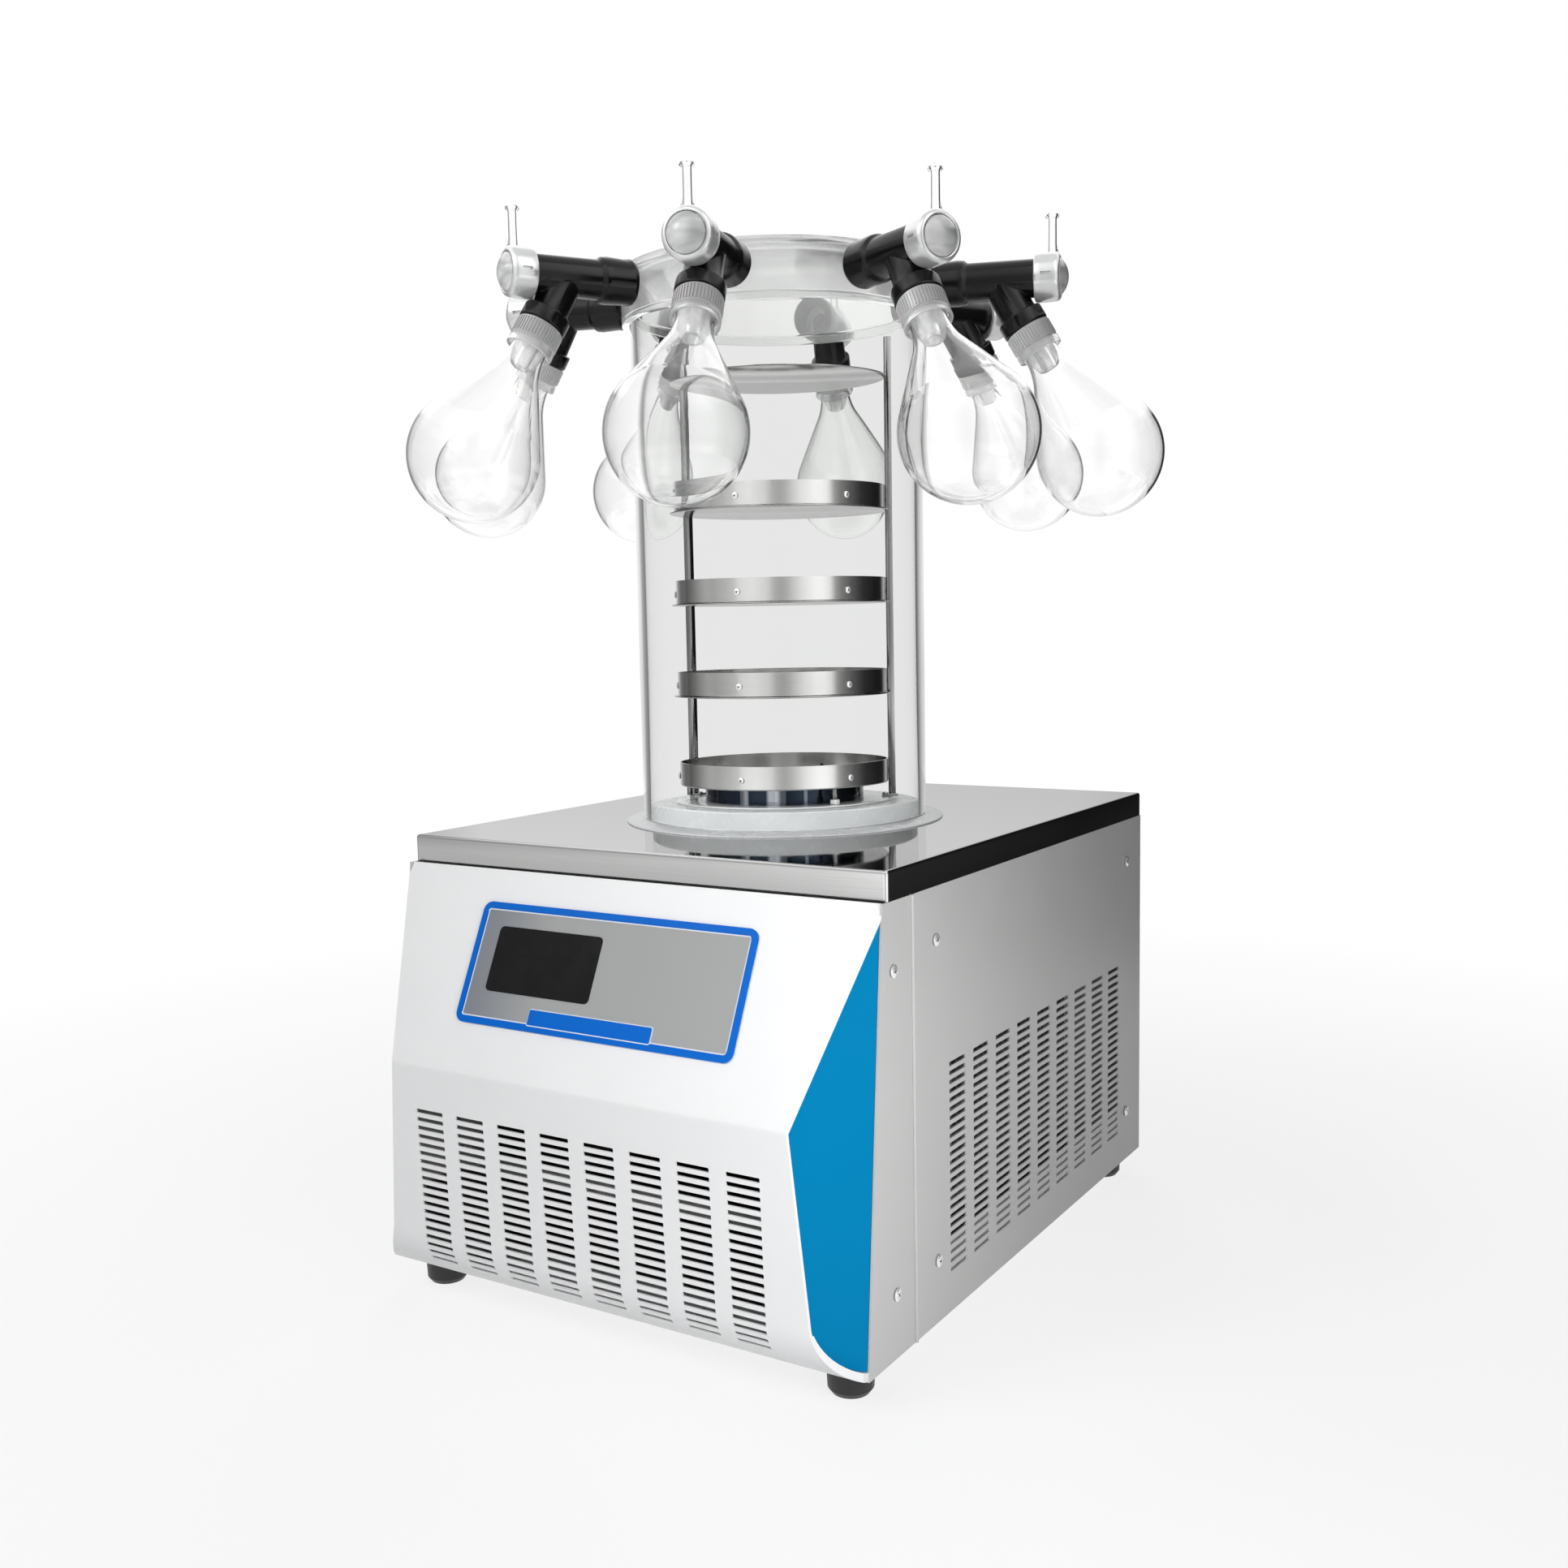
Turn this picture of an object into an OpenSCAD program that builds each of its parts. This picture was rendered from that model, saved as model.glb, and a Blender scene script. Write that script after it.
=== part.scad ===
// Benchtop freeze dryer: a refrigerated cabinet with a cold trap under a stainless top,
// a clear drying chamber with a tray rack on it, and a ring of flask valves round its collar.
// +Z is up, +Y is the back, and the origin is on the floor under the chamber's axis.

/* [Cabinet] */
// Width of the cabinet and of its top plate
cabinet_w = 450; // [420:1:560]
// From the chamber's axis forward to the front edge of the top plate
plate_front = 229; // [200:1:275]
// From the chamber's axis back to the rear edge of the top plate
plate_back = 294; // [250:1:294]
// Height of the top plate's upper face above the floor
plate_top = 378; // [340:0.1:460]
// Height of the top plate's folded edge
plate_rim = 22; // [14:1:30]
// Corner radius of the top plate
plate_corner = 3; // [1:0.5:8]
// Thickness of the cabinet's sheet metal
sheet_t = 1.5; // [1:0.1:2]
// Gap left between neighbouring panels
panel_gap = 0.3; // [0.2:0.05:0.6]

/* [Feet] */
// Height of a rubber foot
foot_h = 22; // [12:1:30]
// Diameter of a rubber foot at its top
foot_d = 36; // [26:1:40]
// From the cabinet's side in to the middle of a foot
foot_inset = 28; // [22:1:40]
// From the front edge of the top plate forward to the middle of a front foot
foot_forward = 12; // [0:1:14]
// From the back of the cabinet in to the middle of a rear foot
foot_back_inset = 28; // [22:1:60]

/* [Front] */
// How far the sloping face starts in front of the top plate
slope_step = 5; // [2:0.5:10]
// How far the crease stands out in front of the top plate
crease_out = 75.6; // [60:0.1:90]
// From the top plate down to the crease
crease_drop = 171.7; // [150:0.1:190]
// Radius along the crease
crease_r = 5; // [2:0.5:10]
// Lean of the face below the crease, in degrees
lower_lean = 2.3; // [0:0.1:6]
// Radius of the rolled chin at the bottom
chin_r = 45; // [30:1:55]
// Height of the white lip that runs under each coloured cheek
chin_lip = 6; // [3:0.5:10]
// How far that lip stands out past the cheek at the bottom
lip_out = 5; // [2:0.5:8]
// How far each cheek cuts in from the side, at the crease
cheek_inset = 39.4; // [25:0.1:55]
// How far the side strip reaches in front of the top plate at its top
strip_top_out = 7.5; // [5.5:0.1:12]
// How far the side strip reaches in front of the top plate at its bottom
strip_bottom_out = 35.3; // [25:0.1:40]
// How deep each cheek sits behind the cut edge of the front panel
cheek_recess = 1; // [0.5:0.1:2]
// From the front edge of the top plate back to the seam of the side panel
seam_back = 35.6; // [25:0.1:45]
// Radius of the rolled hem along the front edge of each side panel
hem_r = 1.6; // [1.2:0.1:2.5]

/* [Grilles] */
// Width of a grille slot
slot_w = 28.5; // [20:0.5:32]
// Height of a grille slot
slot_h = 3.5; // [2:0.1:4]
// Corner radius of a grille slot
slot_r = 0.8; // [0.4:0.1:1]
// From one row of slots to the next
slot_pitch = 7; // [6:0.1:9]
// From one column of slots to the next
column_pitch = 42.4; // [36:0.1:44]
// Columns in the front grille
front_columns = 8; // [4:1:8]
// Most rows in the front grille; as many are cut as the face has room for
front_rows = 19; // [8:1:19]
// From the crease down to the front grille, along the face
front_grille_drop = 35.3; // [20:0.1:45]
// Columns in each side grille
side_columns = 9; // [4:1:9]
// Most rows in each side grille
side_rows = 24; // [8:1:24]
// From the top plate down to the side grille
side_grille_drop = 160; // [150:1:180]
// From the chamber's axis back to the middle of the side grille
side_grille_y = 50.5; // [30:0.5:60]
// Columns in the back grille
back_columns = 5; // [1:1:5]
// Most rows in the back grille
back_rows = 12; // [4:1:14]
// From the top plate down to the back grille
back_grille_drop = 148; // [140:1:190]

/* [Control panel] */
// Width of the control panel
overlay_w = 262; // [200:1:300]
// Height of the control panel, along the slope
overlay_h = 98; // [80:1:110]
// From the top of the slope down to the control panel
overlay_drop = 27; // [15:1:35]
// Corner radius of the control panel
overlay_r = 8; // [4:0.5:14]
// Thickness of the control panel
overlay_t = 1.6; // [1.2:0.1:3]
// Width of its raised border
overlay_rim = 5; // [3:0.5:8]
// Width of the touch screen
screen_w = 102.5; // [80:0.5:115]
// Height of the touch screen
screen_h = 52; // [40:0.5:56]
// From the middle of the cabinet left to the middle of the touch screen
screen_left = 57; // [50:0.5:65]
// From the top of the control panel down to the touch screen
screen_drop = 19; // [12:0.5:22]
// Length of the raised bar along the bottom of the control panel
bar_w = 116.5; // [80:0.5:130]
// Height of that bar
bar_h = 12; // [8:0.5:14]

/* [Cold trap] */
// Inner radius of the cold trap
trap_r = 88; // [73:0.1:88]
// Depth of the cold trap below the top plate
trap_depth = 190; // [140:1:200]
// Height of the collar on which the tray rack stands, above the top plate
plinth_h = 18; // [12:1:26]
// Radius of the evaporator coil's tube
coil_tube_r = 5; // [4:0.5:6]
// Turns of the evaporator coil
coil_turns = 9; // [4:1:9]

/* [Chamber] */
// Outer radius of the clear chamber
chamber_r = 125; // [118:1:155]
// Wall of the clear chamber
chamber_wall = 7; // [4:0.5:8]
// How far the chamber's gasket reaches out past the chamber
gasket_out = 15; // [10:0.5:20]
// Thickness of the gasket under the chamber
gasket_t = 3; // [2:0.5:5]
// From the top plate up to the lower edge of the valve collar
collar_rise = 425; // [390:1:510]
// Height of the valve collar
collar_h = 41; // [36:1:50]
// How far the valve collar stands out past the chamber
collar_out = 7; // [5:0.5:12]
// Thickness of the chamber's lid
lid_t = 6; // [4:0.5:10]
// Gap between the chamber and what it fits into
chamber_gap = 0.3; // [0.2:0.05:0.5]

/* [Tray rack] */
// Radius of a tray
tray_r = 92; // [76:0.1:92]
// Height of a tray's rim
tray_h = 20; // [14:1:26]
// Thickness of the tray metal
tray_t = 1.2; // [1:0.1:1.5]
// Number of trays
tray_count = 4; // [3:1:5]
// From the top plate up to the lowest tray
tray_rise = 33.4; // [30:0.1:44]
// From the rack's top disc down to the highest tray
top_disc_gap = 111.6; // [90:0.1:120]
// Width of an upright
upright_w = 8; // [6:0.5:10]
// Depth of an upright
upright_d = 6; // [4:0.5:7]
// Directions of the two uprights, in degrees from the right
upright_angles = [32, 182];
// Direction of the first small screw in a tray's rim
tray_screw_angle = -81; // [-90:1:-70]
// Small screws in each tray's rim
tray_screws_each = 6; // [3:1:8]

/* [Valves] */
// Number of flask valves round the collar
valve_count = 8; // [4:1:8]
// Direction of the first valve, in degrees from the right
valve_start = 17; // [0:1:44]
// Height of the valves' axes above the lower edge of the collar
valve_rise = 25; // [22:0.5:26]
// Outer radius of a valve's barrel
barrel_r = 15.5; // [14:0.5:17]
// Outer radius of the socket that grips the collar's spigot
socket_r = 18.8; // [17:0.1:20]
// Length of that socket
socket_l = 28; // [22:1:32]
// Gap between the collar and a valve's socket
valve_stand = 4; // [2:0.5:6]
// Length of a valve's body along its barrel
valve_l = 86; // [80:1:92]
// From the inner end of a valve's body to where its branch leaves the barrel
branch_in = 56; // [52:1:60]
// Lean of the branch away from the chamber, in degrees from straight down
branch_lean = 30; // [20:1:40]
// Length of the branch from the barrel's axis
branch_l = 47; // [40:1:55]
// Radius of a valve's bore
valve_bore_r = 11; // [9:0.5:12]
// Radial running gap between a knob's plug and the bore
plug_gap = 0.05; // [0.02:0.01:0.1]
// Outer radius of a knob
knob_r = 19.8; // [18:0.1:22]
// Length of a knob
knob_l = 21; // [16:1:26]
// How far a knob's clear cap stands out past its rim
cap_out = 6.5; // [3:0.5:9]
// Height of the vent nipple above the valve's axis
nipple_h = 50; // [40:1:55]
// Outer radius of the vent nipple
nipple_r = 3.5; // [3:0.1:4]

/* [Flasks] */
// Outer radius of a flask adaptor
adaptor_r = 19.3; // [18:0.1:21]
// Length of an adaptor past the end of the branch
adaptor_l = 23; // [18:1:28]
// Ribs round an adaptor
adaptor_ribs = 36; // [18:1:48]
// Outer radius of a flask's neck
neck_r = 14.5; // [12:0.1:15]
// Radius of a flask's bulb
bulb_r = 52; // [40:1:60]
// From a valve's axis to the middle of the flask's bulb, along the branch
bulb_at = 166; // [150:1:175]
// Thickness of the flask's glass
glass_t = 1.6; // [1.2:0.1:2.5]
// Gap between a flask's neck and its adaptor
neck_gap = 0.3; // [0.2:0.05:0.5]

/* [Refrigeration] */
// Radius of the compressor's shell
compressor_r = 75; // [60:1:80]
// Height of the compressor
compressor_h = 175; // [140:1:190]
// Radius of the fan's blades
fan_r = 88; // [70:1:95]
// Number of fan blades
fan_blades = 5; // [3:1:7]
// Radius of the fan's shaft
fan_shaft_r = 4; // [3:0.5:5]
// Radial running gap on the fan's shaft
shaft_gap = 0.05; // [0.02:0.01:0.1]

/* [Connections] */
// Bore radius of the vacuum port
port_bore_r = 12.5; // [8:0.5:13]
// Radius of the vacuum port's flange
port_flange_r = 20; // [18:0.5:22]
// How far the vacuum port stands out of the back
port_out = 20; // [12:1:21]
// Depth of the vacuum port below the top plate's upper face
port_drop = 78; // [60:1:90]
// From the middle of the cabinet left to the power inlet
inlet_left = 150; // [110:1:170]
// Height of the power inlet's middle above the floor
inlet_z = 74; // [64:1:90]
// From the middle of the cabinet right to the drain
drain_right = 150; // [110:1:170]
// Height of the drain's middle above the floor
drain_z = 70; // [60:1:90]

/* [Hidden] */
$fn = 96;
eps = 0.01;

// Places of the cabinet's outline, seen from the side: y is back, z is up
half_w = cabinet_w / 2;
front_y = -plate_front;
back_y = plate_back;
body_top = plate_top - plate_rim;
slope_top = [front_y - slope_step, body_top - panel_gap];
crease = [front_y - crease_out, plate_top - crease_drop];
slope_dir = (slope_top - crease) / norm(slope_top - crease);
slope_out = [-slope_dir[1], slope_dir[0]];
lower_dir = [-sin(lower_lean), cos(lower_lean)];
lower_out = [-cos(lower_lean), -sin(lower_lean)];
seam_y = front_y + seam_back;
pan_front_y = front_y - 10.5;
pan_wall_h = 56;
inner_half_w = half_w - sheet_t - panel_gap;

// The plane of the right cheek, through the strip's front edge and the end of the crease
strip_top = [half_w, front_y - strip_top_out, body_top];
strip_bottom = [half_w, front_y - strip_bottom_out, foot_h];
crease_end = [half_w - cheek_inset, crease[0], crease[1]];
cheek_cross = cross(strip_bottom - strip_top, crease_end - strip_top);
cheek_out = -cheek_cross / norm(cheek_cross);
cheek_turn = atan2(cheek_out[1], cheek_out[0]);
cheek_tip = asin(cheek_out[2]);

// Grilles: each starts a set way below the plate and has as many rows as its panel allows
lower_l = crease[1] - foot_h - chin_r;
front_rows_cut = min(front_rows, floor((lower_l + 0.8 * chin_r - front_grille_drop) / slot_pitch));
side_grille_top = plate_top - side_grille_drop;
side_rows_cut = min(side_rows, floor((side_grille_top - foot_h - 20) / slot_pitch));
back_grille_top = plate_top - back_grille_drop;
back_rows_cut = min(back_rows, floor((back_grille_top - foot_h - pan_wall_h) / slot_pitch));

// Heights in the chamber
gasket_top = plate_top + gasket_t;
plinth_top = plate_top + plinth_h;
collar_z = plate_top + collar_rise;
collar_top = collar_z + collar_h;
chamber_in = chamber_r - chamber_wall;
plinth_r = chamber_in - chamber_gap;
seat_depth = 7;
valve_z = collar_z + valve_rise;
gasket_r = chamber_r + gasket_out;
collar_r = chamber_r + collar_out;

// Tray rack: the uprights end a little below the chamber's lid
upright_r = tray_r + panel_gap + upright_d / 2;
upright_top = collar_z - 13;
top_disc_z = upright_top - 33;
tray_z0 = plate_top + tray_rise;
tray_pitch = (top_disc_z - top_disc_gap - tray_z0) / (tray_count - 1);
rack_r = max(trap_r + 8, tray_r + 4);

// Valves, from the chamber's axis
valve_in = collar_r + valve_stand;
valve_out = valve_in + valve_l;
branch_at = valve_in + branch_in;

// Fan and condenser
condenser_x = inner_half_w - 50;
fan_z = 145;
fan_y = 20;

// Small fixed sizes
screw_shank_r = 2;
screw_head_r = 4.8;
trap_t = 1.5;
port_wall = 2;
spigot_r = 12;
spigot_bore_r = 8;
spigot_gap = 0.2;
spigot_l = 20;
port_z = plate_top - port_drop;

// ---- Helpers --------------------------------------------------------------

// Where the line through p along d meets the line through q along e
function meet(p, d, q, e) =
    let (k = ((q[0] - p[0]) * e[1] - (q[1] - p[1]) * e[0]) / (d[0] * e[1] - d[1] * e[0]))
    p + k * d;

// The crease of the front face, moved in by t
function crease_in(t) = meet(slope_top - t * slope_out, slope_dir, crease - t * lower_out, lower_dir);

// Middle of a chin arc of radius r that touches the lower face moved in by t and the
// bottom moved up by b
function chin_mid(t, b, r) =
    let (z = foot_h + b + r)
    [crease[0] + (t + r - (z - crease[1]) * -lower_out[1]) / cos(lower_lean), z];

// Extrudes a side outline (y, z) across the cabinet, centred on it
module across(w) translate([-w / 2, 0, 0]) rotate([90, 0, 90]) linear_extrude(w) children();

// Everything inside the front face, moved in by t, with its bottom moved up by b and a
// chin of radius r
module front_outline(t, b, r, back = seam_y) {
    chin = chin_mid(t, b, r);
    bend = crease_in(t);
    soft = max(crease_r - t, 1);
    mid = crease_in(t + soft);
    top = slope_top - t * slope_out;
    low = mid + soft * lower_out;
    high = mid + soft * slope_out;
    polygon([[back, foot_h + b], [chin[0], foot_h + b], chin, chin + r * lower_out,
             low, mid, high, [top[0], slope_top[1]], [back, slope_top[1]]]);
    translate(chin) circle(r);
    translate(mid) circle(soft);
}

// Carries what follows onto the sloping face: x across, y up the slope, z out of it
module on_slope() {
    translate([0, slope_top[0], slope_top[1]])
        rotate([atan2(slope_dir[1], slope_dir[0]), 0, 0]) children();
}

// Carries what follows to a place s below the crease, along the face and round the chin
module on_face(s) {
    chin = chin_mid(0, 0, chin_r);
    flat = norm(chin + chin_r * lower_out - crease);
    turn = max(s - flat, 0) / chin_r * 180 / PI;
    along = min(s, flat);
    place = turn > 0 ? chin : crease - along * lower_dir + chin_r * -lower_out;
    translate([0, place[0], place[1]]) rotate([90 + lower_lean + turn, 0, 0])
        translate([0, 0, chin_r]) children();
}

// The side of the right cheek's plane that lies away from the cabinet, moved in by d and
// flared outwards by some degrees below the top of the chin
module beyond_cheek(d = 0, flare = 0) {
    chin_top = foot_h + chin_r;
    k = (strip_top[2] - chin_top) / (strip_top[2] - strip_bottom[2]);
    translate(strip_top + k * (strip_bottom - strip_top))
        rotate([0, -cheek_tip - flare, cheek_turn])
            translate([-d, -cabinet_w, -plate_top * 1.5]) cube([200, 2 * cabinet_w, 3 * plate_top]);
}

// Repeats what follows on both sides of the cabinet
module both_sides() {
    children();
    mirror([1, 0, 0]) children();
}

// A rectangle with round corners, centred
module rounded(w, h, r) {
    square([w - 2 * r, h], center = true);
    square([w, h - 2 * r], center = true);
    for (x = [-1, 1], y = [-1, 1]) translate([x * (w / 2 - r), y * (h / 2 - r)]) circle(r);
}

// One grille slot, as an outline
module slot_outline() rounded(slot_w, slot_h, slot_r);

// A ring standing on z = 0
module ring(outer, inner, h) rotate_extrude() translate([inner, 0]) square([outer - inner, h]);

// A pan-head screw with a cross recess; its head stands on z = 0
module screw(head_r, shank_r, shank_l) {
    head_h = head_r * 0.55;
    dome_r = (head_r * head_r + head_h * head_h) / (2 * head_h);
    difference() {
        intersection() {
            translate([0, 0, head_h - dome_r]) sphere(dome_r);
            cylinder(r = head_r, h = head_h);
        }
        for (a = [0, 90]) rotate([0, 0, a])
            translate([-head_r * 0.5, -head_r * 0.1, head_h * 0.45])
                cube([head_r, head_r * 0.2, head_h]);
    }
    translate([0, 0, -shank_l]) cylinder(r = shank_r, h = shank_l + eps);
}

// Places of the side screws: [y, z]
strip_screws = [[front_y + 7, body_top - 50], [front_y + 7, foot_h + 48]];
side_screws = [for (y = [seam_y + 38.4, back_y - 40], z = [foot_h + 48.5, body_top - 40]) [y, z]];
back_screws = [for (x = [-half_w + 12, half_w - 12],
                    z = [foot_h + 30, (foot_h + body_top) / 2, body_top - 30])
    [x, z]];

module at_side_screws(places) for (p = places) translate([half_w, p[0], p[1]]) rotate([0, 90, 0]) children();

module at_back_screws() for (p = back_screws) translate([p[0], back_y, p[1]]) rotate([-90, 0, 0]) children();

// A hole for a panel screw, through the sheet
module screw_hole() translate([0, 0, -15]) cylinder(r = screw_shank_r + 0.15, h = 20);

// ---- Cabinet --------------------------------------------------------------

// Folded tray: high walls for the side and back panels' screws, a low one at the front
module base_pan() color([0.75, 0.76, 0.77]) {
    length = back_y - sheet_t - panel_gap - pan_front_y;
    difference() {
        translate([-inner_half_w, pan_front_y, foot_h]) cube([2 * inner_half_w, length, pan_wall_h]);
        translate([-inner_half_w + sheet_t, pan_front_y + sheet_t, foot_h + sheet_t])
            cube([2 * (inner_half_w - sheet_t), length - 2 * sheet_t, pan_wall_h]);
        translate([-half_w, pan_front_y - 1, foot_h + pan_wall_h / 3])
            cube([cabinet_w, 2 * sheet_t, pan_wall_h]);
        both_sides() {
            at_side_screws(side_screws) screw_hole();
            at_side_screws(strip_screws) screw_hole();
        }
        at_back_screws() screw_hole();
        translate([drain_right, back_y, drain_z]) rotate([90, 0, 0])
            cylinder(r = drain_pipe_r + panel_gap, h = 20, center = true);
        translate([-inlet_left - inlet_hole_w / 2, back_y - 10, inlet_z - inlet_hole_h / 2])
            cube([inlet_hole_w, 20, inlet_hole_h]);
    }
}

foot_places = [for (x = [-half_w + foot_inset, half_w - foot_inset],
                    y = [front_y - foot_forward, back_y - foot_back_inset]) [x, y, 0]];

module feet() color([0.09, 0.09, 0.1])
    for (p = foot_places) translate(p) rotate_extrude() difference() {
        polygon([[0, 0], [foot_d / 2 - 4, 0], [foot_d / 2 - 1, 4], [foot_d / 2, foot_h], [0, foot_h]]);
        square([6, 6]);
    }

// The strip down the right side, grown forward and inward by some gap
module side_strip(gap = 0) {
    forward = [-gap, 0];
    translate([half_w - sheet_t - gap, 0, 0]) rotate([90, 0, 90]) linear_extrude(sheet_t + gap)
        polygon([[seam_y - panel_gap, foot_h], [strip_bottom[1], foot_h] + forward,
                 [strip_top[1], slope_top[1]] + forward, [seam_y - panel_gap, slope_top[1]]]);
}

// The strip down each side, its flange behind the seam, and the bars that join the two
module front_frame() color([0.8, 0.8, 0.8]) {
    bar_back = seam_y - panel_gap;
    flange_w = 16;
    flange_z = foot_h + pan_wall_h + 2;
    both_sides() difference() {
        union() {
            side_strip();
            translate([half_w - flange_w, bar_back - sheet_t, flange_z])
                cube([flange_w, sheet_t, slope_top[1] - flange_z]);
        }
        at_side_screws(strip_screws) screw_hole();
    }
    for (z = [slope_top[1] - flange_w, flange_z])
        translate([-half_w + flange_w - eps, bar_back - sheet_t, z])
            cube([cabinet_w - 2 * flange_w + 2 * eps, sheet_t, flange_w]);
}

// Bent sheet with a slotted grille. Its sides are cut off along the cheeks, but for a lip
// under each, which flares out towards the bottom
module front_panel() color([0.93, 0.93, 0.93]) difference() {
    skin = 0.2;
    union() {
        across(cabinet_w - panel_gap) difference() {
            front_outline(0, 0, chin_r);
            front_outline(sheet_t, sheet_t, chin_r - sheet_t, seam_y + 10);
            behind_front();
        }
        // The lip is thicker than the sheet, and starts behind the cheek's edge
        both_sides() intersection() {
            beyond_cheek(3 * sheet_t);
            across(cabinet_w - 2 * panel_gap) difference() {
                front_outline(skin, skin, chin_r - skin);
                front_outline(sheet_t + skin, chin_lip, chin_r, seam_y + 10);
                behind_front();
                translate([2 * crease[0], foot_h + 0.93 * chin_r]) square([-2 * crease[0], plate_top]);
            }
        }
    }
    both_sides() {
        intersection() {
            beyond_cheek();
            beyond_cheek(0, atan(lip_out / chin_r));
        }
        side_strip(panel_gap);
    }
    grille_columns(front_columns) for (row = [0:front_rows_cut - 1])
        on_face(front_grille_drop + slot_h / 2 + row * slot_pitch)
            translate([0, 0, -2 * sheet_t]) linear_extrude(4 * sheet_t) slot_outline();
}

// In the side outline: what lies behind the chin's rear edge, and behind the plate's front edge
module behind_front() {
    translate([pan_front_y - panel_gap, foot_h - 1]) square([100, 100]);
    translate([front_y + 20, body_top - 30]) square([100, 40]);
}

// Repeats what follows at each column of a grille that is centred on x = 0
module grille_columns(count) for (i = [0:count - 1])
    translate([(i - (count - 1) / 2) * column_pitch, 0, 0]) children();

module cheeks() color([0, 0.5, 0.76]) both_sides() intersection() {
    difference() {
        beyond_cheek(cheek_recess + sheet_t);
        beyond_cheek(cheek_recess);
    }
    across(2 * inner_half_w)
        front_outline(sheet_t + panel_gap, chin_lip + panel_gap, chin_r);
}

module side_panel_right() color([0.78, 0.78, 0.78]) {
    front = seam_y + hem_r;
    length = back_y - sheet_t - panel_gap - front;
    height = body_top - panel_gap - foot_h;
    difference() {
        union() {
            translate([half_w - sheet_t, 0, 0]) rotate([90, 0, 90]) linear_extrude(sheet_t) difference() {
                translate([front, foot_h]) square([length, height]);
                translate([side_grille_y, side_grille_top - slot_h / 2])
                    grille_columns(side_columns) for (row = [0:side_rows_cut - 1])
                        translate([0, -row * slot_pitch]) slot_outline();
            }
            translate([half_w - sheet_t + hem_r, front, foot_h]) cylinder(r = hem_r, h = height);
        }
        at_side_screws(side_screws) screw_hole();
    }
}

module side_panel_left() mirror([1, 0, 0]) side_panel_right();

module back_panel() color([0.78, 0.78, 0.78]) difference() {
    translate([-half_w, back_y - sheet_t, foot_h]) cube([cabinet_w, sheet_t, body_top - panel_gap - foot_h]);
    at_back_screws() screw_hole();
    translate([0, back_y, port_z]) rotate([90, 0, 0])
        cylinder(r = port_bore_r + port_wall + panel_gap, h = 20, center = true);
    translate([drain_right, back_y, drain_z]) rotate([90, 0, 0])
        cylinder(r = drain_pipe_r + panel_gap, h = 20, center = true);
    translate([-inlet_left - inlet_hole_w / 2, back_y - 10, inlet_z - inlet_hole_h / 2])
        cube([inlet_hole_w, 20, inlet_hole_h]);
    translate([0, back_y + 1, back_grille_top]) rotate([90, 0, 0]) linear_extrude(sheet_t + 2)
        grille_columns(back_columns) for (row = [0:back_rows_cut - 1])
            translate([0, -row * slot_pitch]) slot_outline();
}

module top_plate() color([0.72, 0.73, 0.74]) {
    mid_y = (front_y + back_y) / 2;
    length = back_y - front_y;
    difference() {
        translate([0, mid_y, body_top]) linear_extrude(plate_rim) rounded(cabinet_w, length, plate_corner);
        translate([0, mid_y, body_top - 1]) linear_extrude(plate_rim - sheet_t + 1)
            rounded(cabinet_w - 2 * sheet_t, length - 2 * sheet_t, plate_corner - sheet_t + 0.5);
        cylinder(r = trap_r + trap_t + panel_gap, h = 2 * plate_top);
    }
}

module panel_screws() color([0.85, 0.85, 0.86]) {
    both_sides() {
        at_side_screws(strip_screws) screw(screw_head_r, screw_shank_r, 6);
        at_side_screws(side_screws) screw(screw_head_r, screw_shank_r, 6);
    }
    at_back_screws() screw(screw_head_r, screw_shank_r, 6);
}

// ---- Control panel --------------------------------------------------------

module on_overlay() on_slope() translate([0, -overlay_drop - overlay_h / 2, 0]) children();

screen_place = [-screen_left, overlay_h / 2 - screen_drop - screen_h / 2];

module control_overlay() color([0.05, 0.4, 0.75]) on_overlay() difference() {
    field_t = overlay_t - 0.6;
    union() {
        linear_extrude(overlay_t) difference() {
            rounded(overlay_w, overlay_h, overlay_r);
            rounded(overlay_w - 2 * overlay_rim, overlay_h - 2 * overlay_rim, overlay_r - 3);
        }
        linear_extrude(field_t) rounded(overlay_w - 2, overlay_h - 2, overlay_r - 1);
        translate([0, -overlay_h / 2 + overlay_rim + bar_h / 2, 0])
            linear_extrude(overlay_t) square([bar_w, bar_h], center = true);
    }
    translate([screen_place[0], screen_place[1], -1]) linear_extrude(overlay_t + 2)
        rounded(screen_w + 0.4, screen_h + 0.4, 4.2);
}

module touch_screen() color([0.05, 0.05, 0.06]) on_overlay()
    translate(screen_place) linear_extrude(overlay_t) rounded(screen_w, screen_h, 4);

// ---- Cold trap ------------------------------------------------------------

module cold_trap() color([0.8, 0.8, 0.81]) difference() {
    floor_z = plate_top - trap_depth;
    rotate_extrude() {
        translate([0, floor_z]) square([trap_r + trap_t, trap_t]);
        translate([trap_r, floor_z]) square([trap_t, plinth_top - floor_z]);
        translate([trap_r, plate_top - sheet_t - panel_gap - trap_t]) square([18, trap_t]);
    }
    translate([0, trap_r, port_z]) rotate([-90, 0, 0]) cylinder(r = port_bore_r, h = 20, center = true);
}

// Close-wound turns, soldered to each other, standing on the trap's floor
module trap_coil() color([0.75, 0.6, 0.45]) {
    coil_r = trap_r - panel_gap - coil_tube_r;
    first_z = plate_top - trap_depth + trap_t + panel_gap + coil_tube_r;
    rotate_extrude() for (i = [0:coil_turns - 1])
        translate([coil_r, first_z + i * (2 * coil_tube_r - 0.4)]) circle(coil_tube_r, $fn = 48);
}

// ---- Refrigeration --------------------------------------------------------

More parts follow.
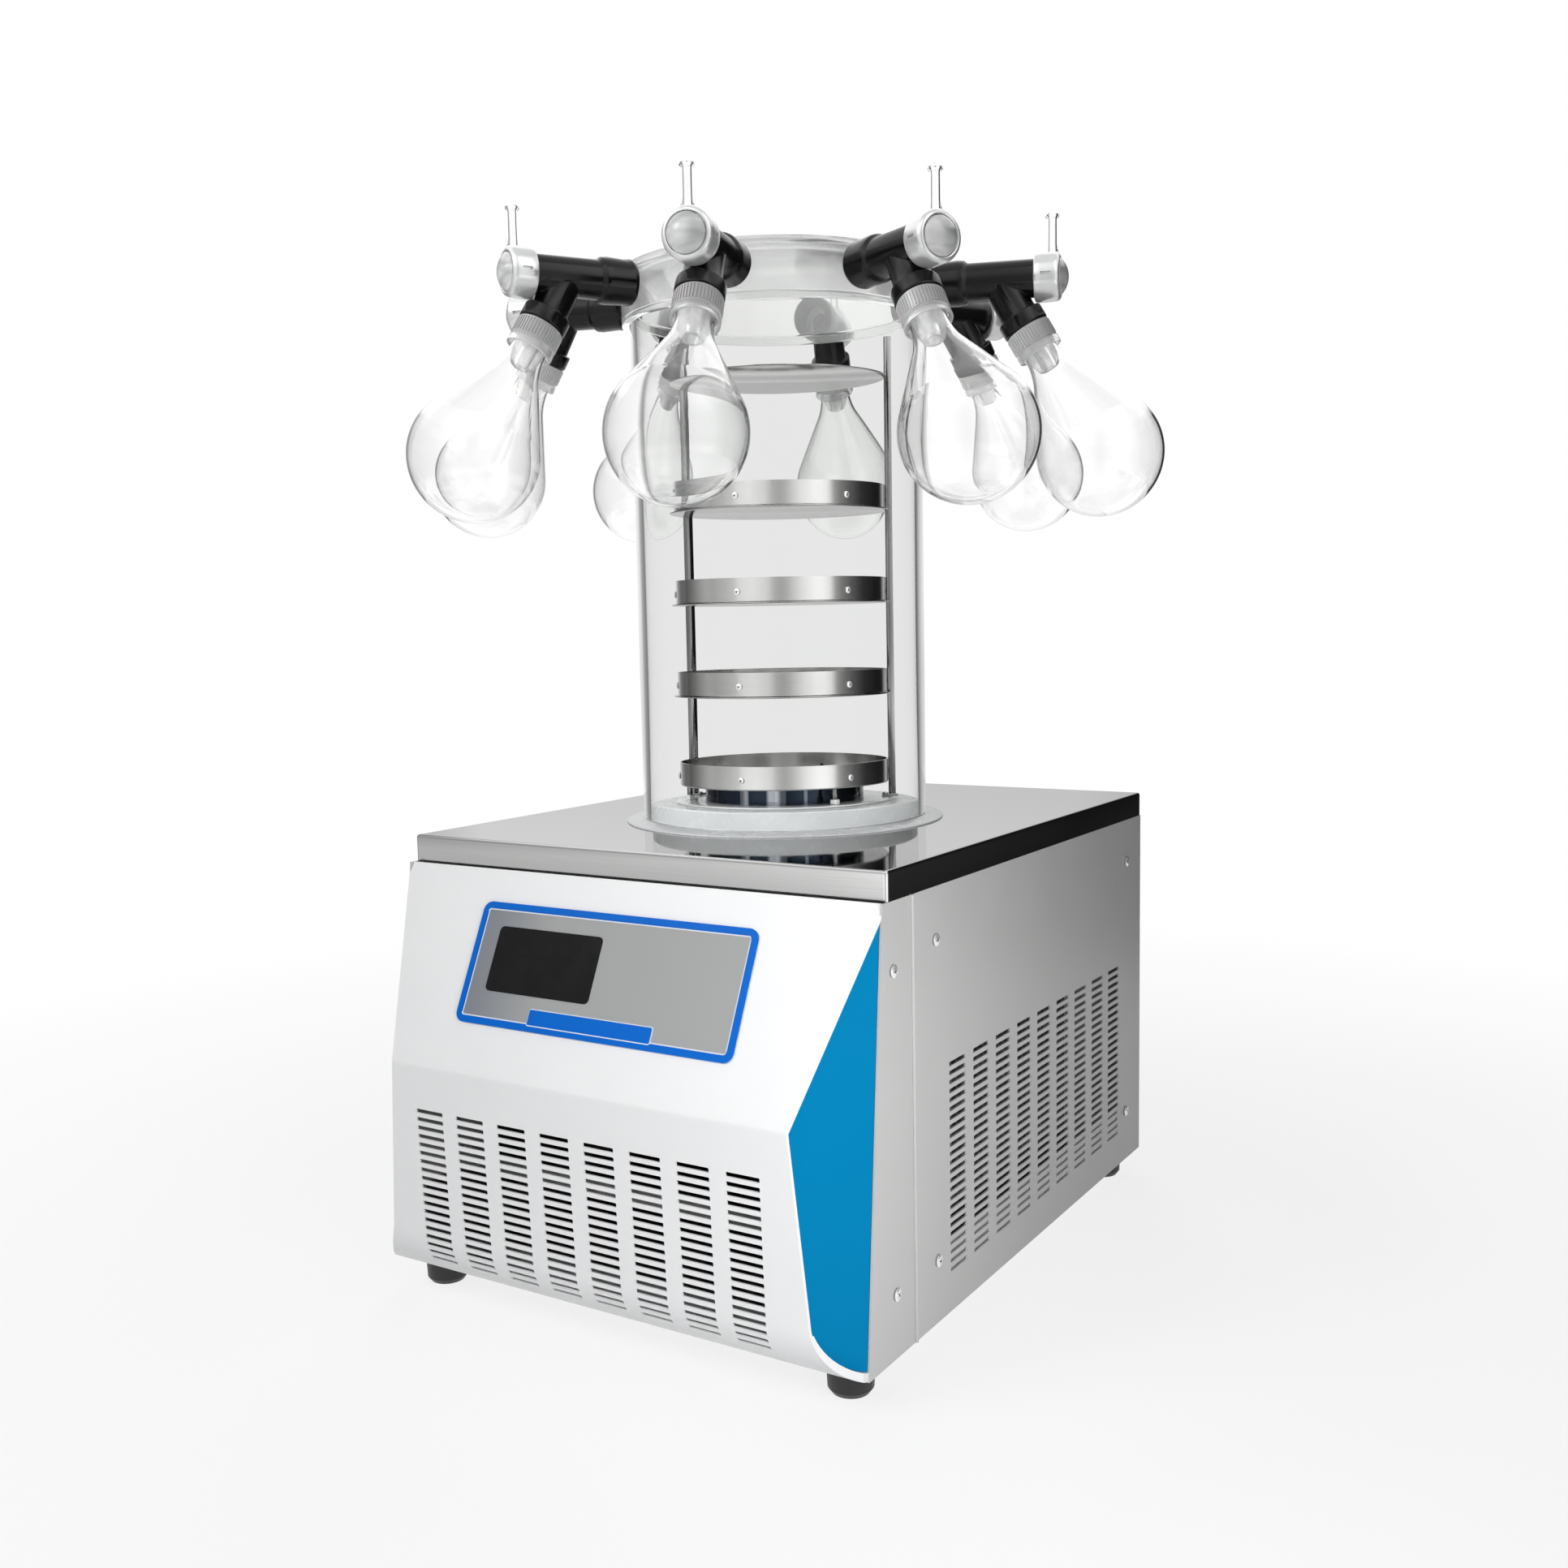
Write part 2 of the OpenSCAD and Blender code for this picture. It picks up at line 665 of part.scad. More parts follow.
compressor_place = [-inner_half_w + compressor_r + 30, back_y - compressor_r - 45, foot_h + sheet_t];

module compressor() color([0.12, 0.12, 0.13]) translate(compressor_place) {
    dome_r = 30;
    grommet_r = 9;
    grommet_h = 12;
    grommet_out = 50;
    plate = 124;
    plate_h = 3;
    side_h = compressor_h - dome_r - grommet_h;
    rotate_extrude() difference() {
        translate([0, grommet_h]) {
            square([compressor_r, side_h]);
            translate([0, side_h]) square([compressor_r - dome_r, dome_r]);
            translate([compressor_r - dome_r, side_h]) circle(dome_r);
        }
        translate([-compressor_r, 0]) square([compressor_r, 2 * compressor_h]);
    }
    // Weld seam, grommets, base plate and terminal box
    translate([0, 0, compressor_h * 0.5]) ring(compressor_r + 2, compressor_r - 1, 6);
    for (x = [-1, 1], y = [-1, 1]) translate([x * grommet_out, y * grommet_out, 0])
        cylinder(r = grommet_r, h = grommet_h);
    translate([-plate / 2, -plate / 2, grommet_h - 2]) cube([plate, plate, plate_h]);
    translate([compressor_r - 3, -14, compressor_h * 0.4]) cube([14, 28, 34]);
}

module condenser() color([0.3, 0.3, 0.31]) {
    depth = 34;
    length = 230;
    height = 190;
    fins = 24;
    fin_t = 1;
    pipe_r = 4;
    pipe_rows = [9, 25];
    pipe_pitch = 24;
    end_t = 2;
    end_out = 6;
    floor_z = foot_h + sheet_t;
    translate([condenser_x, fan_y - length / 2, floor_z]) {
        for (i = [0:fins - 1]) translate([0, i * (length - fin_t) / (fins - 1), 0])
            cube([depth, fin_t, height]);
        for (x = pipe_rows, z = [20:pipe_pitch:height - 10]) translate([x, -end_out, z])
            rotate([-90, 0, 0]) cylinder(r = pipe_r, h = length + 2 * end_out);
        for (y = [-end_out - end_t, length + end_out]) translate([0, y, 0]) cube([depth, end_t, height]);
    }
}

// A square cowl on the condenser's inner face, with the motor held on a cross bar
module fan_shroud() color([0.16, 0.16, 0.17]) {
    size = 2 * fan_r + 14;
    depth = 22;
    stand_off = 14;
    bar_w = 16;
    bar_t = 2;
    motor_r = 24;
    motor_l = 34;
    translate([condenser_x - panel_gap, fan_y, fan_z]) rotate([0, -90, 0]) {
        difference() {
            translate([-size / 2, -size / 2, 0]) cube([size, size, depth]);
            translate([0, 0, -1]) cylinder(r = fan_r + 3, h = depth + 2);
        }
        difference() {
            union() {
                translate([-bar_w / 2, -fan_r - 5, depth + stand_off]) cube([bar_w, 2 * fan_r + 10, bar_t]);
                for (y = [-fan_r - 5, fan_r - 1]) translate([-bar_w / 2, y, depth - 1])
                    cube([bar_w, 6, stand_off + bar_t + 1]);
                translate([0, 0, depth + stand_off - 4]) cylinder(r = motor_r, h = motor_l);
            }
            translate([0, 0, depth - 2]) cylinder(r = fan_shaft_r + shaft_gap, h = 32);
        }
    }
    translate([condenser_x - panel_gap - depth, fan_y - 20, foot_h + sheet_t])
        cube([depth, 40, fan_z - size / 2 - foot_h - sheet_t + eps]);
}

module fan_rotor() color([0.2, 0.2, 0.21])
    translate([condenser_x - panel_gap, fan_y, fan_z]) rotate([0, -90, 0]) {
        translate([0, 0, 4]) cylinder(r = 22, h = 16);
        translate([0, 0, 18]) cylinder(r = fan_shaft_r, h = 32);
        for (i = [0:fan_blades - 1]) rotate([0, 0, i * 360 / fan_blades]) intersection() {
            translate([0, 0, 3]) ring(fan_r, 20, 18);
            translate([fan_r / 2 + 8, 0, 12]) rotate([24, 0, 0])
                cube([fan_r, 52, 1.6], center = true);
        }
    }

// ---- Connections on the back ----------------------------------------------

inlet_w = 34;
inlet_h = 62;
inlet_hole_w = 29;
inlet_hole_h = 57;
rocker_z = inlet_z + 15;
socket_z = inlet_z - 14;
rocker_w = 12;
rocker_pin_r = 1.5;
rocker_y = back_y - 3;

module power_inlet() color([0.07, 0.07, 0.08]) difference() {
    union() {
        translate([-inlet_left, back_y, inlet_z]) rotate([-90, 0, 0]) linear_extrude(3)
            rounded(inlet_w, inlet_h, 3);
        translate([-inlet_left - inlet_hole_w / 2 + 0.3, back_y - 24, inlet_z - inlet_hole_h / 2 + 0.3])
            cube([inlet_hole_w - 0.6, 25, inlet_hole_h - 0.6]);
    }
    // Socket, round its three blades
    difference() {
        translate([-inlet_left, back_y - 16, socket_z]) rotate([-90, 0, 0]) linear_extrude(30)
            rounded(24, 17, 2.5);
        for (p = [[-7, -1.5], [0, 2.5], [7, -1.5]])
            translate([-inlet_left + p[0] - 1, back_y - 17, socket_z + p[1] - 2]) cube([2, 13, 4]);
    }
    // Well and bearings of the rocker
    translate([-inlet_left - rocker_w / 2 - 0.3, back_y - 14, rocker_z - 11]) cube([rocker_w + 0.6, 30, 22]);
    translate([-inlet_left, rocker_y, rocker_z]) rotate([0, 90, 0])
        cylinder(r = rocker_pin_r + shaft_gap, h = rocker_w + 8, center = true);
}

// Rocker with its pins; it rests tipped to one side
module power_switch() color([0.55, 0.06, 0.05]) translate([-inlet_left, rocker_y, rocker_z]) {
    rotate([0, 90, 0]) cylinder(r = rocker_pin_r, h = rocker_w + 6, center = true);
    rotate([11, 0, 0]) across(rocker_w)
        polygon([[-4, -8], [4, -9.6], [3.2, 0], [4, 9.6], [-4, 8]]);
}

module vacuum_port() color([0.8, 0.8, 0.81]) difference() {
    outer = port_bore_r + port_wall;
    start = trap_r + trap_t - 1;
    translate([0, 0, port_z]) rotate([-90, 0, 0]) rotate_extrude()
        polygon([[port_bore_r, start], [outer, start], [outer, back_y], [outer + 8, back_y],
                 [outer + 8, back_y + 2], [outer, back_y + 2], [outer, back_y + port_out - 6],
                 [port_flange_r, back_y + port_out - 3], [port_flange_r, back_y + port_out],
                 [port_bore_r, back_y + port_out]]);
    cylinder(r = trap_r + trap_t + 0.1, h = 2 * plate_top);
}

drain_body_l = 13.5;
drain_pipe_r = 6;
drain_shaft_r = 3;
drain_tail_r = 5;
drain_tail_l = 28;
drain_tail_out = 7.5;
drain_knob_r = 10;
drain_knob_l = 6.5;

module drain_valve() color([0.78, 0.68, 0.4]) translate([drain_right, back_y, drain_z]) {
    hex_r = 11;
    rotate([-90, 0, 0]) difference() {
        union() {
            translate([0, 0, -20]) cylinder(r = drain_pipe_r, h = 21);
            cylinder(r = hex_r, h = drain_body_l, $fn = 6);
        }
        translate([0, 0, 3]) cylinder(r = drain_shaft_r + shaft_gap, h = drain_body_l);
    }
    // The hose pushes onto this tail, so its wall needs room in front of the panel
    translate([0, drain_tail_out, -drain_tail_l]) difference() {
        cylinder(r = drain_tail_r, h = drain_tail_l - 8);
        translate([0, 0, -1]) cylinder(r = drain_tail_r - 2, h = drain_tail_l - 12);
    }
}

module drain_knob() color([0.1, 0.1, 0.11])
    translate([drain_right, back_y, drain_z]) rotate([-90, 0, 0]) {
        flutes = 8;
        translate([0, 0, 4]) cylinder(r = drain_shaft_r, h = drain_body_l + panel_gap - 3);
        translate([0, 0, drain_body_l + panel_gap]) difference() {
            cylinder(r = drain_knob_r, h = drain_knob_l);
            for (i = [0:flutes - 1]) rotate([0, 0, i * 360 / flutes])
                translate([drain_knob_r + 1, 0, -1]) cylinder(r = 2.2, h = drain_knob_l + 2, $fn = 24);
        }
    }

// ---- Chamber --------------------------------------------------------------

module base_gasket() color([0.9, 0.91, 0.92]) rotate_extrude() {
    inner = trap_r + trap_t + panel_gap;
    translate([inner, plate_top]) square([gasket_r - inner - 1, gasket_t]);
    translate([inner, plate_top]) square([gasket_r - inner, gasket_t - 1]);
    translate([gasket_r - 1, plate_top + gasket_t - 1]) circle(1);
    translate([inner, plate_top]) square([plinth_r - inner, plinth_h]);
}

module chamber_tube() color([0.85, 0.9, 0.92, 0.35])
    translate([0, 0, gasket_top])
        ring(chamber_r, chamber_in, collar_z + seat_depth - gasket_top - panel_gap);

// Ring with a seat for the tube below, a seat for the lid above and a spigot for each valve
module valve_collar() color([0.88, 0.9, 0.9, 0.6]) difference() {
    spigot_root = chamber_in + 6;
    union() {
        rotate_extrude() {
            translate([chamber_in, collar_z + seat_depth])
                square([collar_r - chamber_in, collar_h - seat_depth]);
            translate([chamber_r + chamber_gap, collar_z])
                square([collar_r - chamber_r - chamber_gap, collar_h]);
        }
        for (i = [1:valve_count]) at_valve(i) translate([spigot_root, 0, 0]) rotate([0, 90, 0])
            cylinder(r = spigot_r, h = valve_in + spigot_l - spigot_root);
    }
    for (i = [1:valve_count]) at_valve(i) translate([spigot_root / 2, 0, 0]) rotate([0, 90, 0])
        cylinder(r = spigot_bore_r, h = valve_in);
}

module lid() color([0.88, 0.9, 0.9, 0.6]) rotate_extrude() {
    lip_w = 6;
    lip_h = 2;
    translate([0, collar_top]) square([collar_r - 1, lid_t]);
    translate([chamber_in - lip_w, collar_top - lip_h]) square([lip_w - chamber_gap, lip_h + eps]);
}

// ---- Tray rack ------------------------------------------------------------

module rack_base() color([0.8, 0.8, 0.81]) rotate_extrude() {
    hole = trap_r - 22;
    drum_r = hole + 4;
    drum_top = tray_z0 - panel_gap;
    translate([hole, plinth_top]) square([rack_r - hole - 0.8, tray_t + 0.4]);
    translate([rack_r - 0.8, plinth_top + 0.8]) circle(0.8, $fn = 32);
    translate([drum_r - tray_t, plinth_top]) square([tray_t, drum_top - plinth_top]);
    translate([drum_r - 14, drum_top - tray_t]) square([14, tray_t]);
}

// Two channel uprights with shelves and a top disc welded between them
module rack_frame() color([0.62, 0.62, 0.63]) {
    wall = 1.2;
    shelf_rim = 3.5;
    disc_rim = 2;
    foot_in = 6;
    foot_t = 2;
    foot_z = plinth_top + tray_t + 0.4 + panel_gap;
    for (a = upright_angles) rotate([0, 0, a]) translate([upright_r, 0, foot_z]) {
        difference() {
            translate([-upright_d / 2, -upright_w / 2, 0])
                cube([upright_d, upright_w, upright_top - foot_z]);
            translate([-upright_d / 2 + wall, -upright_w / 2 + wall, -1])
                cube([upright_d, upright_w - 2 * wall, 2 * plate_top]);
        }
        translate([-upright_d / 2 - foot_in, -upright_w / 2 - 1, 0])
            cube([upright_d + foot_in + 2, upright_w + 2, foot_t]);
    }
    for (i = [1:tray_count - 1])
        translate([0, 0, tray_z0 + i * tray_pitch - panel_gap - wall])
            cylinder(r = tray_r + shelf_rim, h = wall);
    translate([0, 0, top_disc_z - wall]) cylinder(r = tray_r + disc_rim, h = wall);
}

module tray(i) color([0.8, 0.8, 0.81]) translate([0, 0, tray_z0 + (i - 1) * tray_pitch])
    difference() {
        rotate_extrude() {
            square([tray_r - tray_t, tray_t]);
            translate([tray_r - tray_t, tray_t]) intersection() {
                circle(tray_t);
                translate([0, -2 * tray_t]) square(2 * tray_t);
            }
            translate([tray_r - tray_t, tray_t]) square([tray_t, tray_h - tray_t]);
        }
        at_tray_screws() translate([0, 0, -4]) cylinder(r = 1.65, h = 8, $fn = 24);
    }

module at_tray_screws() for (k = [0:tray_screws_each - 1])
    rotate([0, 0, tray_screw_angle + k * 360 / tray_screws_each])
        translate([tray_r, 0, tray_h * 0.42]) rotate([0, 90, 0]) children();

module tray_screws() color([0.85, 0.85, 0.86]) for (i = [1:tray_count])
    translate([0, 0, tray_z0 + (i - 1) * tray_pitch]) at_tray_screws()
        translate([0, 0, 0.1]) rotate([0, 0, 20]) screw(2.6, 1.5, 3);

// ---- Valves and flasks ----------------------------------------------------

// Carries what follows to a valve: x out from the chamber's axis, z up
module at_valve(i) rotate([0, 0, valve_start + (i - 1) * 360 / valve_count])
    translate([0, 0, valve_z]) children();

// Carries what follows to a branch: it runs down -z from the barrel's axis
module on_branch(i) at_valve(i) translate([branch_at, 0, 0]) rotate([0, -branch_lean, 0]) children();

module valve_body(i) color([0.08, 0.08, 0.09]) difference() {
    collar_l = 13;
    union() {
        at_valve(i) rotate([0, 90, 0]) rotate_extrude() polygon([
            [0, valve_in], [socket_r - 1.2, valve_in], [socket_r, valve_in + 3],
            [socket_r - 0.8, valve_in + 8], [socket_r, valve_in + socket_l - 5],
            [socket_r - 0.6, valve_in + socket_l], [barrel_r + 0.4, valve_in + socket_l + 3],
            [barrel_r, valve_out], [0, valve_out]]);
        on_branch(i) mirror([0, 0, 1]) rotate_extrude() polygon([
            [0, 0], [barrel_r - 0.5, 0], [barrel_r + 1, branch_l - collar_l],
            [adaptor_r, branch_l - collar_l + 1], [adaptor_r, branch_l], [0, branch_l]]);
    }
    at_valve(i) rotate([0, 90, 0]) {
        cylinder(r = spigot_r + spigot_gap, h = valve_in + spigot_l + panel_gap);
        cylinder(r = valve_bore_r, h = valve_out + 1);
    }
    on_branch(i) mirror([0, 0, 1]) cylinder(r = stub_r + spigot_gap, h = branch_l + 1);
}

stub_r = 9;

// Hollow plug with a side port, a rim, a clear cap and a vent nipple
module valve_knob(i) color([0.92, 0.92, 0.92]) at_valve(i) difference() {
    rim_x = valve_out + panel_gap;
    rim_end = rim_x + knob_l;
    plug_in = branch_at - 22;
    plug_wall = 3 - plug_gap;
    nipple_x = rim_end - 7;
    nipple_top = 4;
    cap_seat = 3;
    cap_r = knob_r - 5.6;
    cap_ball = (cap_r * cap_r + cap_out * cap_out) / (2 * cap_out);
    union() {
        rotate([0, 90, 0]) rotate_extrude() difference() {
            polygon([[0, plug_in], [valve_bore_r - plug_gap, plug_in],
                     [valve_bore_r - plug_gap, rim_x], [knob_r - 1, rim_x], [knob_r, rim_x + 2],
                     [knob_r - 0.6, rim_end - 1.5], [knob_r - 2, rim_end],
                     [knob_r - 4, rim_end], [cap_r, rim_end - cap_seat], [0, rim_end - cap_seat]]);
            translate([0, plug_in - 1]) square([valve_bore_r - plug_gap - plug_wall, 40]);
        }
        translate([rim_end + cap_out - cap_ball, 0, 0]) rotate([0, 90, 0]) rotate_extrude()
            intersection() {
                circle(cap_ball);
                translate([0, cap_ball - cap_out - cap_seat - eps]) square([cap_r, 2 * cap_ball]);
            }
        translate([nipple_x, 0, 0]) rotate_extrude() polygon([
            [0, 0], [nipple_r + 2.5, 0], [nipple_r + 2.5, knob_r - 2], [nipple_r, knob_r + 5],
            [nipple_r, nipple_h - 3], [nipple_r + 2.3, nipple_h - 1.6], [nipple_r + 2.3, nipple_h],
            [0, nipple_h]]);
    }
    translate([nipple_x, 0, nipple_top]) cylinder(r = nipple_r - 1.2, h = nipple_h);
    translate([branch_at, 0, 0]) mirror([0, 0, 1]) cylinder(r = stub_r - 2, h = 20);
}

module flask_adaptors() color([0.6, 0.6, 0.61]) for (i = [1:valve_count]) on_branch(i) mirror([0, 0, 1]) {
    difference() {
        union() {
            translate([0, 0, branch_l - 14]) cylinder(r = stub_r, h = 15);
            translate([0, 0, branch_l]) cylinder(r = adaptor_r - 0.5, h = adaptor_l);
            for (k = [0:adaptor_ribs - 1]) rotate([0, 0, k * 360 / adaptor_ribs])
                translate([adaptor_r - 1.2, -0.55, branch_l + 1]) cube([1.2, 1.1, adaptor_l - 3]);
        }
        cylinder(r = stub_r - 2.5, h = 200);
        translate([0, 0, branch_l + 3]) cylinder(r = neck_r + neck_gap, h = adaptor_l);
    }
}

// A flask's outline about its axis, moved in by t: a neck, a flaring shoulder and a bulb
module flask_outline(t) {
    neck_top = branch_l + 3 + neck_gap;
    neck_end = branch_l + adaptor_l + 12;
    r = bulb_r - t;
    dr = neck_r - t;
    ds = bulb_at - neck_end;
    reach = norm([dr, ds]);
    swing = acos(r / reach) + atan2(dr, ds);
    polygon([[0, neck_top - (t > 0 ? 1 : 0)], [dr, neck_top - (t > 0 ? 1 : 0)], [dr, neck_end],
             [r * sin(swing), bulb_at - r * cos(swing)], [0, bulb_at]]);
    intersection() {
        translate([0, bulb_at]) circle(r);
        translate([0, bulb_at - r]) square([r, 2 * r]);
    }
}

module flask(i) color([0.9, 0.94, 0.95, 0.3]) on_branch(i) mirror([0, 0, 1])
    rotate_extrude() difference() {
        flask_outline(0);
        flask_outline(glass_t);
    }

// ---- Which parts to draw --------------------------------------------------

base_pan();
feet();
front_frame();
front_panel();
cheeks();
side_panel_left();
side_panel_right();
back_panel();
top_plate();
panel_screws();
control_overlay();
touch_screen();
cold_trap();
trap_coil();
compressor();
condenser();
fan_shroud();
fan_rotor();
power_inlet();
power_switch();
vacuum_port();
drain_valve();
drain_knob();
base_gasket();
chamber_tube();
valve_collar();
lid();
rack_base();
rack_frame();
tray_screws();
flask_adaptors();
for (i = [1:tray_count]) {
    tray(i);
}
for (i = [1:valve_count]) {
    valve_body(i);
    valve_knob(i);
    flask(i);
}
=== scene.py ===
# %% [markdown]
# # A benchtop freeze dryer
# A cold cabinet stands under a clear drying chamber. A rack of trays fills the chamber, and
# eight rubber valves round its collar each carry a glass flask. The frame below is the
# machine's fixed frame: its sheets, trays and fasteners already stand where they belong, so
# this lesson gives them their finish, and builds the pieces whose look depends on finer
# shapes: glass, clear plastic, ribbed sleeves, folded steel and small screws.

# %% Load the frame
import math

import bmesh
import bpy
from mathutils import Matrix, Vector


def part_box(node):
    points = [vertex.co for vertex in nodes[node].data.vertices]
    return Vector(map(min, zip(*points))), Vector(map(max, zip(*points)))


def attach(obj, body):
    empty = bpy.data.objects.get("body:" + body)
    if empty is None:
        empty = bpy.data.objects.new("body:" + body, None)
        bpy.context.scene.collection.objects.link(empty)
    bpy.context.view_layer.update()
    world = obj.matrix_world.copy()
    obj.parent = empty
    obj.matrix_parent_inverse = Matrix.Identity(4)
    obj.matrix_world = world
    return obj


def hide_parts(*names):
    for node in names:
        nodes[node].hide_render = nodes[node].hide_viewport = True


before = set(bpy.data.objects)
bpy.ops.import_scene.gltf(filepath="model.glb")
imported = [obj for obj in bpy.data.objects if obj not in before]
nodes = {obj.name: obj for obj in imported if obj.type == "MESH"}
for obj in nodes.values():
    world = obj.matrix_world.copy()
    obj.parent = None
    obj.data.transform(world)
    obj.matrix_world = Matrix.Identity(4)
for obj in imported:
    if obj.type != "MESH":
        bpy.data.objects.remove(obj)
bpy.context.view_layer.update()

scene = bpy.context.scene
MM = 0.001

# %% [markdown]
# ## Camera
# The machine is seen from its front right, from a little above the middle, through a normal
# lens. Building the three axes of the camera by hand keeps its slight roll exact, which is
# harder to read from three Euler angles.

# %% Camera
AZIMUTH, DOWN, ROLL = (math.radians(a) for a in (31.988, 6.056, -1.111))
STANDPOINT = (0.7326, -1.1738, 0.5536)
back = Vector((math.sin(AZIMUTH) * math.cos(DOWN), -math.cos(AZIMUTH) * math.cos(DOWN), math.sin(DOWN)))
level = Vector((math.cos(AZIMUTH), math.sin(AZIMUTH), 0))
right = math.cos(ROLL) * level + math.sin(ROLL) * back.cross(level)
upward = back.cross(right)
axes = Matrix((right, upward, back)).transposed().to_4x4()
camera = bpy.data.objects.new("camera", bpy.data.cameras.new("camera"))
camera.matrix_world = Matrix.Translation(STANDPOINT) @ axes
camera.data.sensor_width, camera.data.lens = 36, 35.92
camera.data.clip_start, camera.data.clip_end = 0.05, 60
scene.collection.objects.link(camera)
scene.camera = camera
scene.view_settings.view_transform = "Standard"
print("camera looks along", (-back).to_tuple(3))

# %% [markdown]
# ## Studio
# Polished steel has no colour of its own: it shows the room. A photographer stands soft boxes
# and black flags round such a machine, so that steel gets bright and dark bands and its
# edges read. Here a ring of panels far outside the view does that. Only reflections see its
# bands; through glass it is as white as the background. The lamps are large, which keeps their
# shadows soft.

# %% Studio: tools
def wire(tree, kind, links=(), **values):
    """Adds a shader node; values set its sockets or properties, and links join its inputs."""
    node = tree.nodes.new(kind)
    for name, value in values.items():
        if hasattr(node, name):
            setattr(node, name, value)
        else:
            node.inputs[name.replace("_", " ")].default_value = value
    for socket, source in dict(links).items():
        tree.links.new(source, node.inputs[socket])
    return node


def maths(tree, operation, *values, clamp=False):
    """Adds a Math node and gives its result. A value is a number or another node's output."""
    node = wire(tree, "ShaderNodeMath", operation=operation, use_clamp=clamp)
    for socket, value in zip(node.inputs, values):
        if isinstance(value, (int, float)):
            socket.default_value = value
        else:
            tree.links.new(value, socket)
    return node.outputs[0]


def ranged(tree, value, **ends):
    """Adds a Map Range node and gives its result."""
    return wire(tree, "ShaderNodeMapRange", {"Value": value}, **ends).outputs[0]


def blended(tree, mask, below, above):
    """Goes from one colour to another by a mask. A colour is three numbers or a node's output."""
    node = wire(tree, "ShaderNodeMix", {"Factor": mask}, data_type="RGBA")
    for socket, value in ((node.inputs["A"], below), (node.inputs["B"], above)):
        if isinstance(value, tuple):
            socket.default_value = (*value, 1)
        else:
            tree.links.new(value, socket)
    return node.outputs["Result"]


def ramped(tree, value, stops):
    """A colour ramp of greys, from pairs of a place between 0 and 1 and a level."""
    node = wire(tree, "ShaderNodeValToRGB", {0: value})
    node.color_ramp.elements.remove(node.color_ramp.elements[1])
    for i, (at, grey) in enumerate(stops):
        stop = node.color_ramp.elements.new(at) if i else node.color_ramp.elements[0]
        stop.position, stop.color = at, (grey, grey, grey, 1)
    return node.outputs[0]


def own_place(tree):
    """The object's own coordinates."""
    return wire(tree, "ShaderNodeTexCoord").outputs["Object"]


def bearing_and_height(tree):
    """The bearing of a place about Z, from -pi to pi, and its height."""
    apart = wire(tree, "ShaderNodeSeparateXYZ", {0: own_place(tree)})
    return maths(tree, "ARCTAN2", apart.outputs["Y"], apart.outputs["X"]), apart.outputs["Z"]


def shown_white(tree):
    """1 for the rays that may see the background itself: from the camera, in metal, through glass."""
    path = wire(tree, "ShaderNodeLightPath")
    seen = maths(tree, "MAXIMUM", path.outputs["Is Camera Ray"], path.outputs["Is Glossy Ray"])
    return maths(tree, "MAXIMUM", seen, path.outputs["Is Transmission Ray"])


def emptied(data):
    """The node tree of a new world or material, cleared."""
    data.use_nodes = True
    data.node_tree.nodes.clear()
    return data.node_tree


def shown(name, bm, material=None):
    """Turns a bmesh into an object of the scene."""
    mesh = bpy.data.meshes.new(name)
    bm.to_mesh(mesh)
    bm.free()
    if material is not None:
        mesh.materials.append(material)
    o = bpy.data.objects.new(name, mesh)
    scene.collection.objects.link(o)
    return o


print("node tools ready")

# %% Studio: world and floor
scene.world = bpy.data.worlds.new("studio")
tree = emptied(scene.world)
white = wire(tree, "ShaderNodeBackground", Color=(1, 1, 1, 1), Strength=1.0)
room = wire(tree, "ShaderNodeBackground", Color=(0.97, 0.985, 1, 1), Strength=0.1)
mixed = wire(tree, "ShaderNodeMixShader", {0: shown_white(tree), 1: room.outputs[0], 2: white.outputs[0]})
wire(tree, "ShaderNodeOutputWorld", {0: mixed.outputs[0]})

floor_material = bpy.data.materials.new("floor")
tree = emptied(floor_material)
matte = wire(tree, "ShaderNodeBsdfDiffuse", Color=(0.8, 0.8, 0.8, 1))
glow = wire(tree, "ShaderNodeEmission", Color=(1, 1, 1, 1), Strength=1.0)
away = wire(tree, "ShaderNodeVectorMath", {0: own_place(tree)}, operation="LENGTH")
fade = ranged(tree, away.outputs["Value"], From_Min=0.5, From_Max=1.5, To_Min=0.8)
share = maths(tree, "MULTIPLY", shown_white(tree), fade)
mixed = wire(tree, "ShaderNodeMixShader", {0: share, 1: matte.outputs[0], 2: glow.outputs[0]})
wire(tree, "ShaderNodeOutputMaterial", {0: mixed.outputs[0]})

FLOOR_HALF = 25
bm = bmesh.new()
bmesh.ops.create_grid(bm, x_segments=1, y_segments=1, size=FLOOR_HALF)
floor = shown("floor", bm, floor_material)
print("floor", FLOOR_HALF * 2, "m wide")

# %% Studio: the ring of panels
# Brightness of the ring by bearing, in degrees from +X towards +Y
PANELS = [(-180, 0.1), (-166, 0.22), (-154, 0.38), (-143, 0.52), (-134, 0.48), (-117, 0.6), (-109, 0.7),
          (-102, 0.95), (-94, 1.04), (-87, 1.07), (-72, 0.9), (-65, 0.6), (-58, 0.5), (-51, 0.6), (-44, 0.82),
          (-36, 1.05), (-22, 1.3), (-14, 1.3), (-6, 1.1), (1, 0.42), (10, 0.22), (19, 0.15), (28, 0.08),
          (38, 0.03), (62, 0.008), (78, 0.015), (90, 0.47), (100, 0.66), (145, 0.74), (155, 0.32),
          (166, 0.16)]
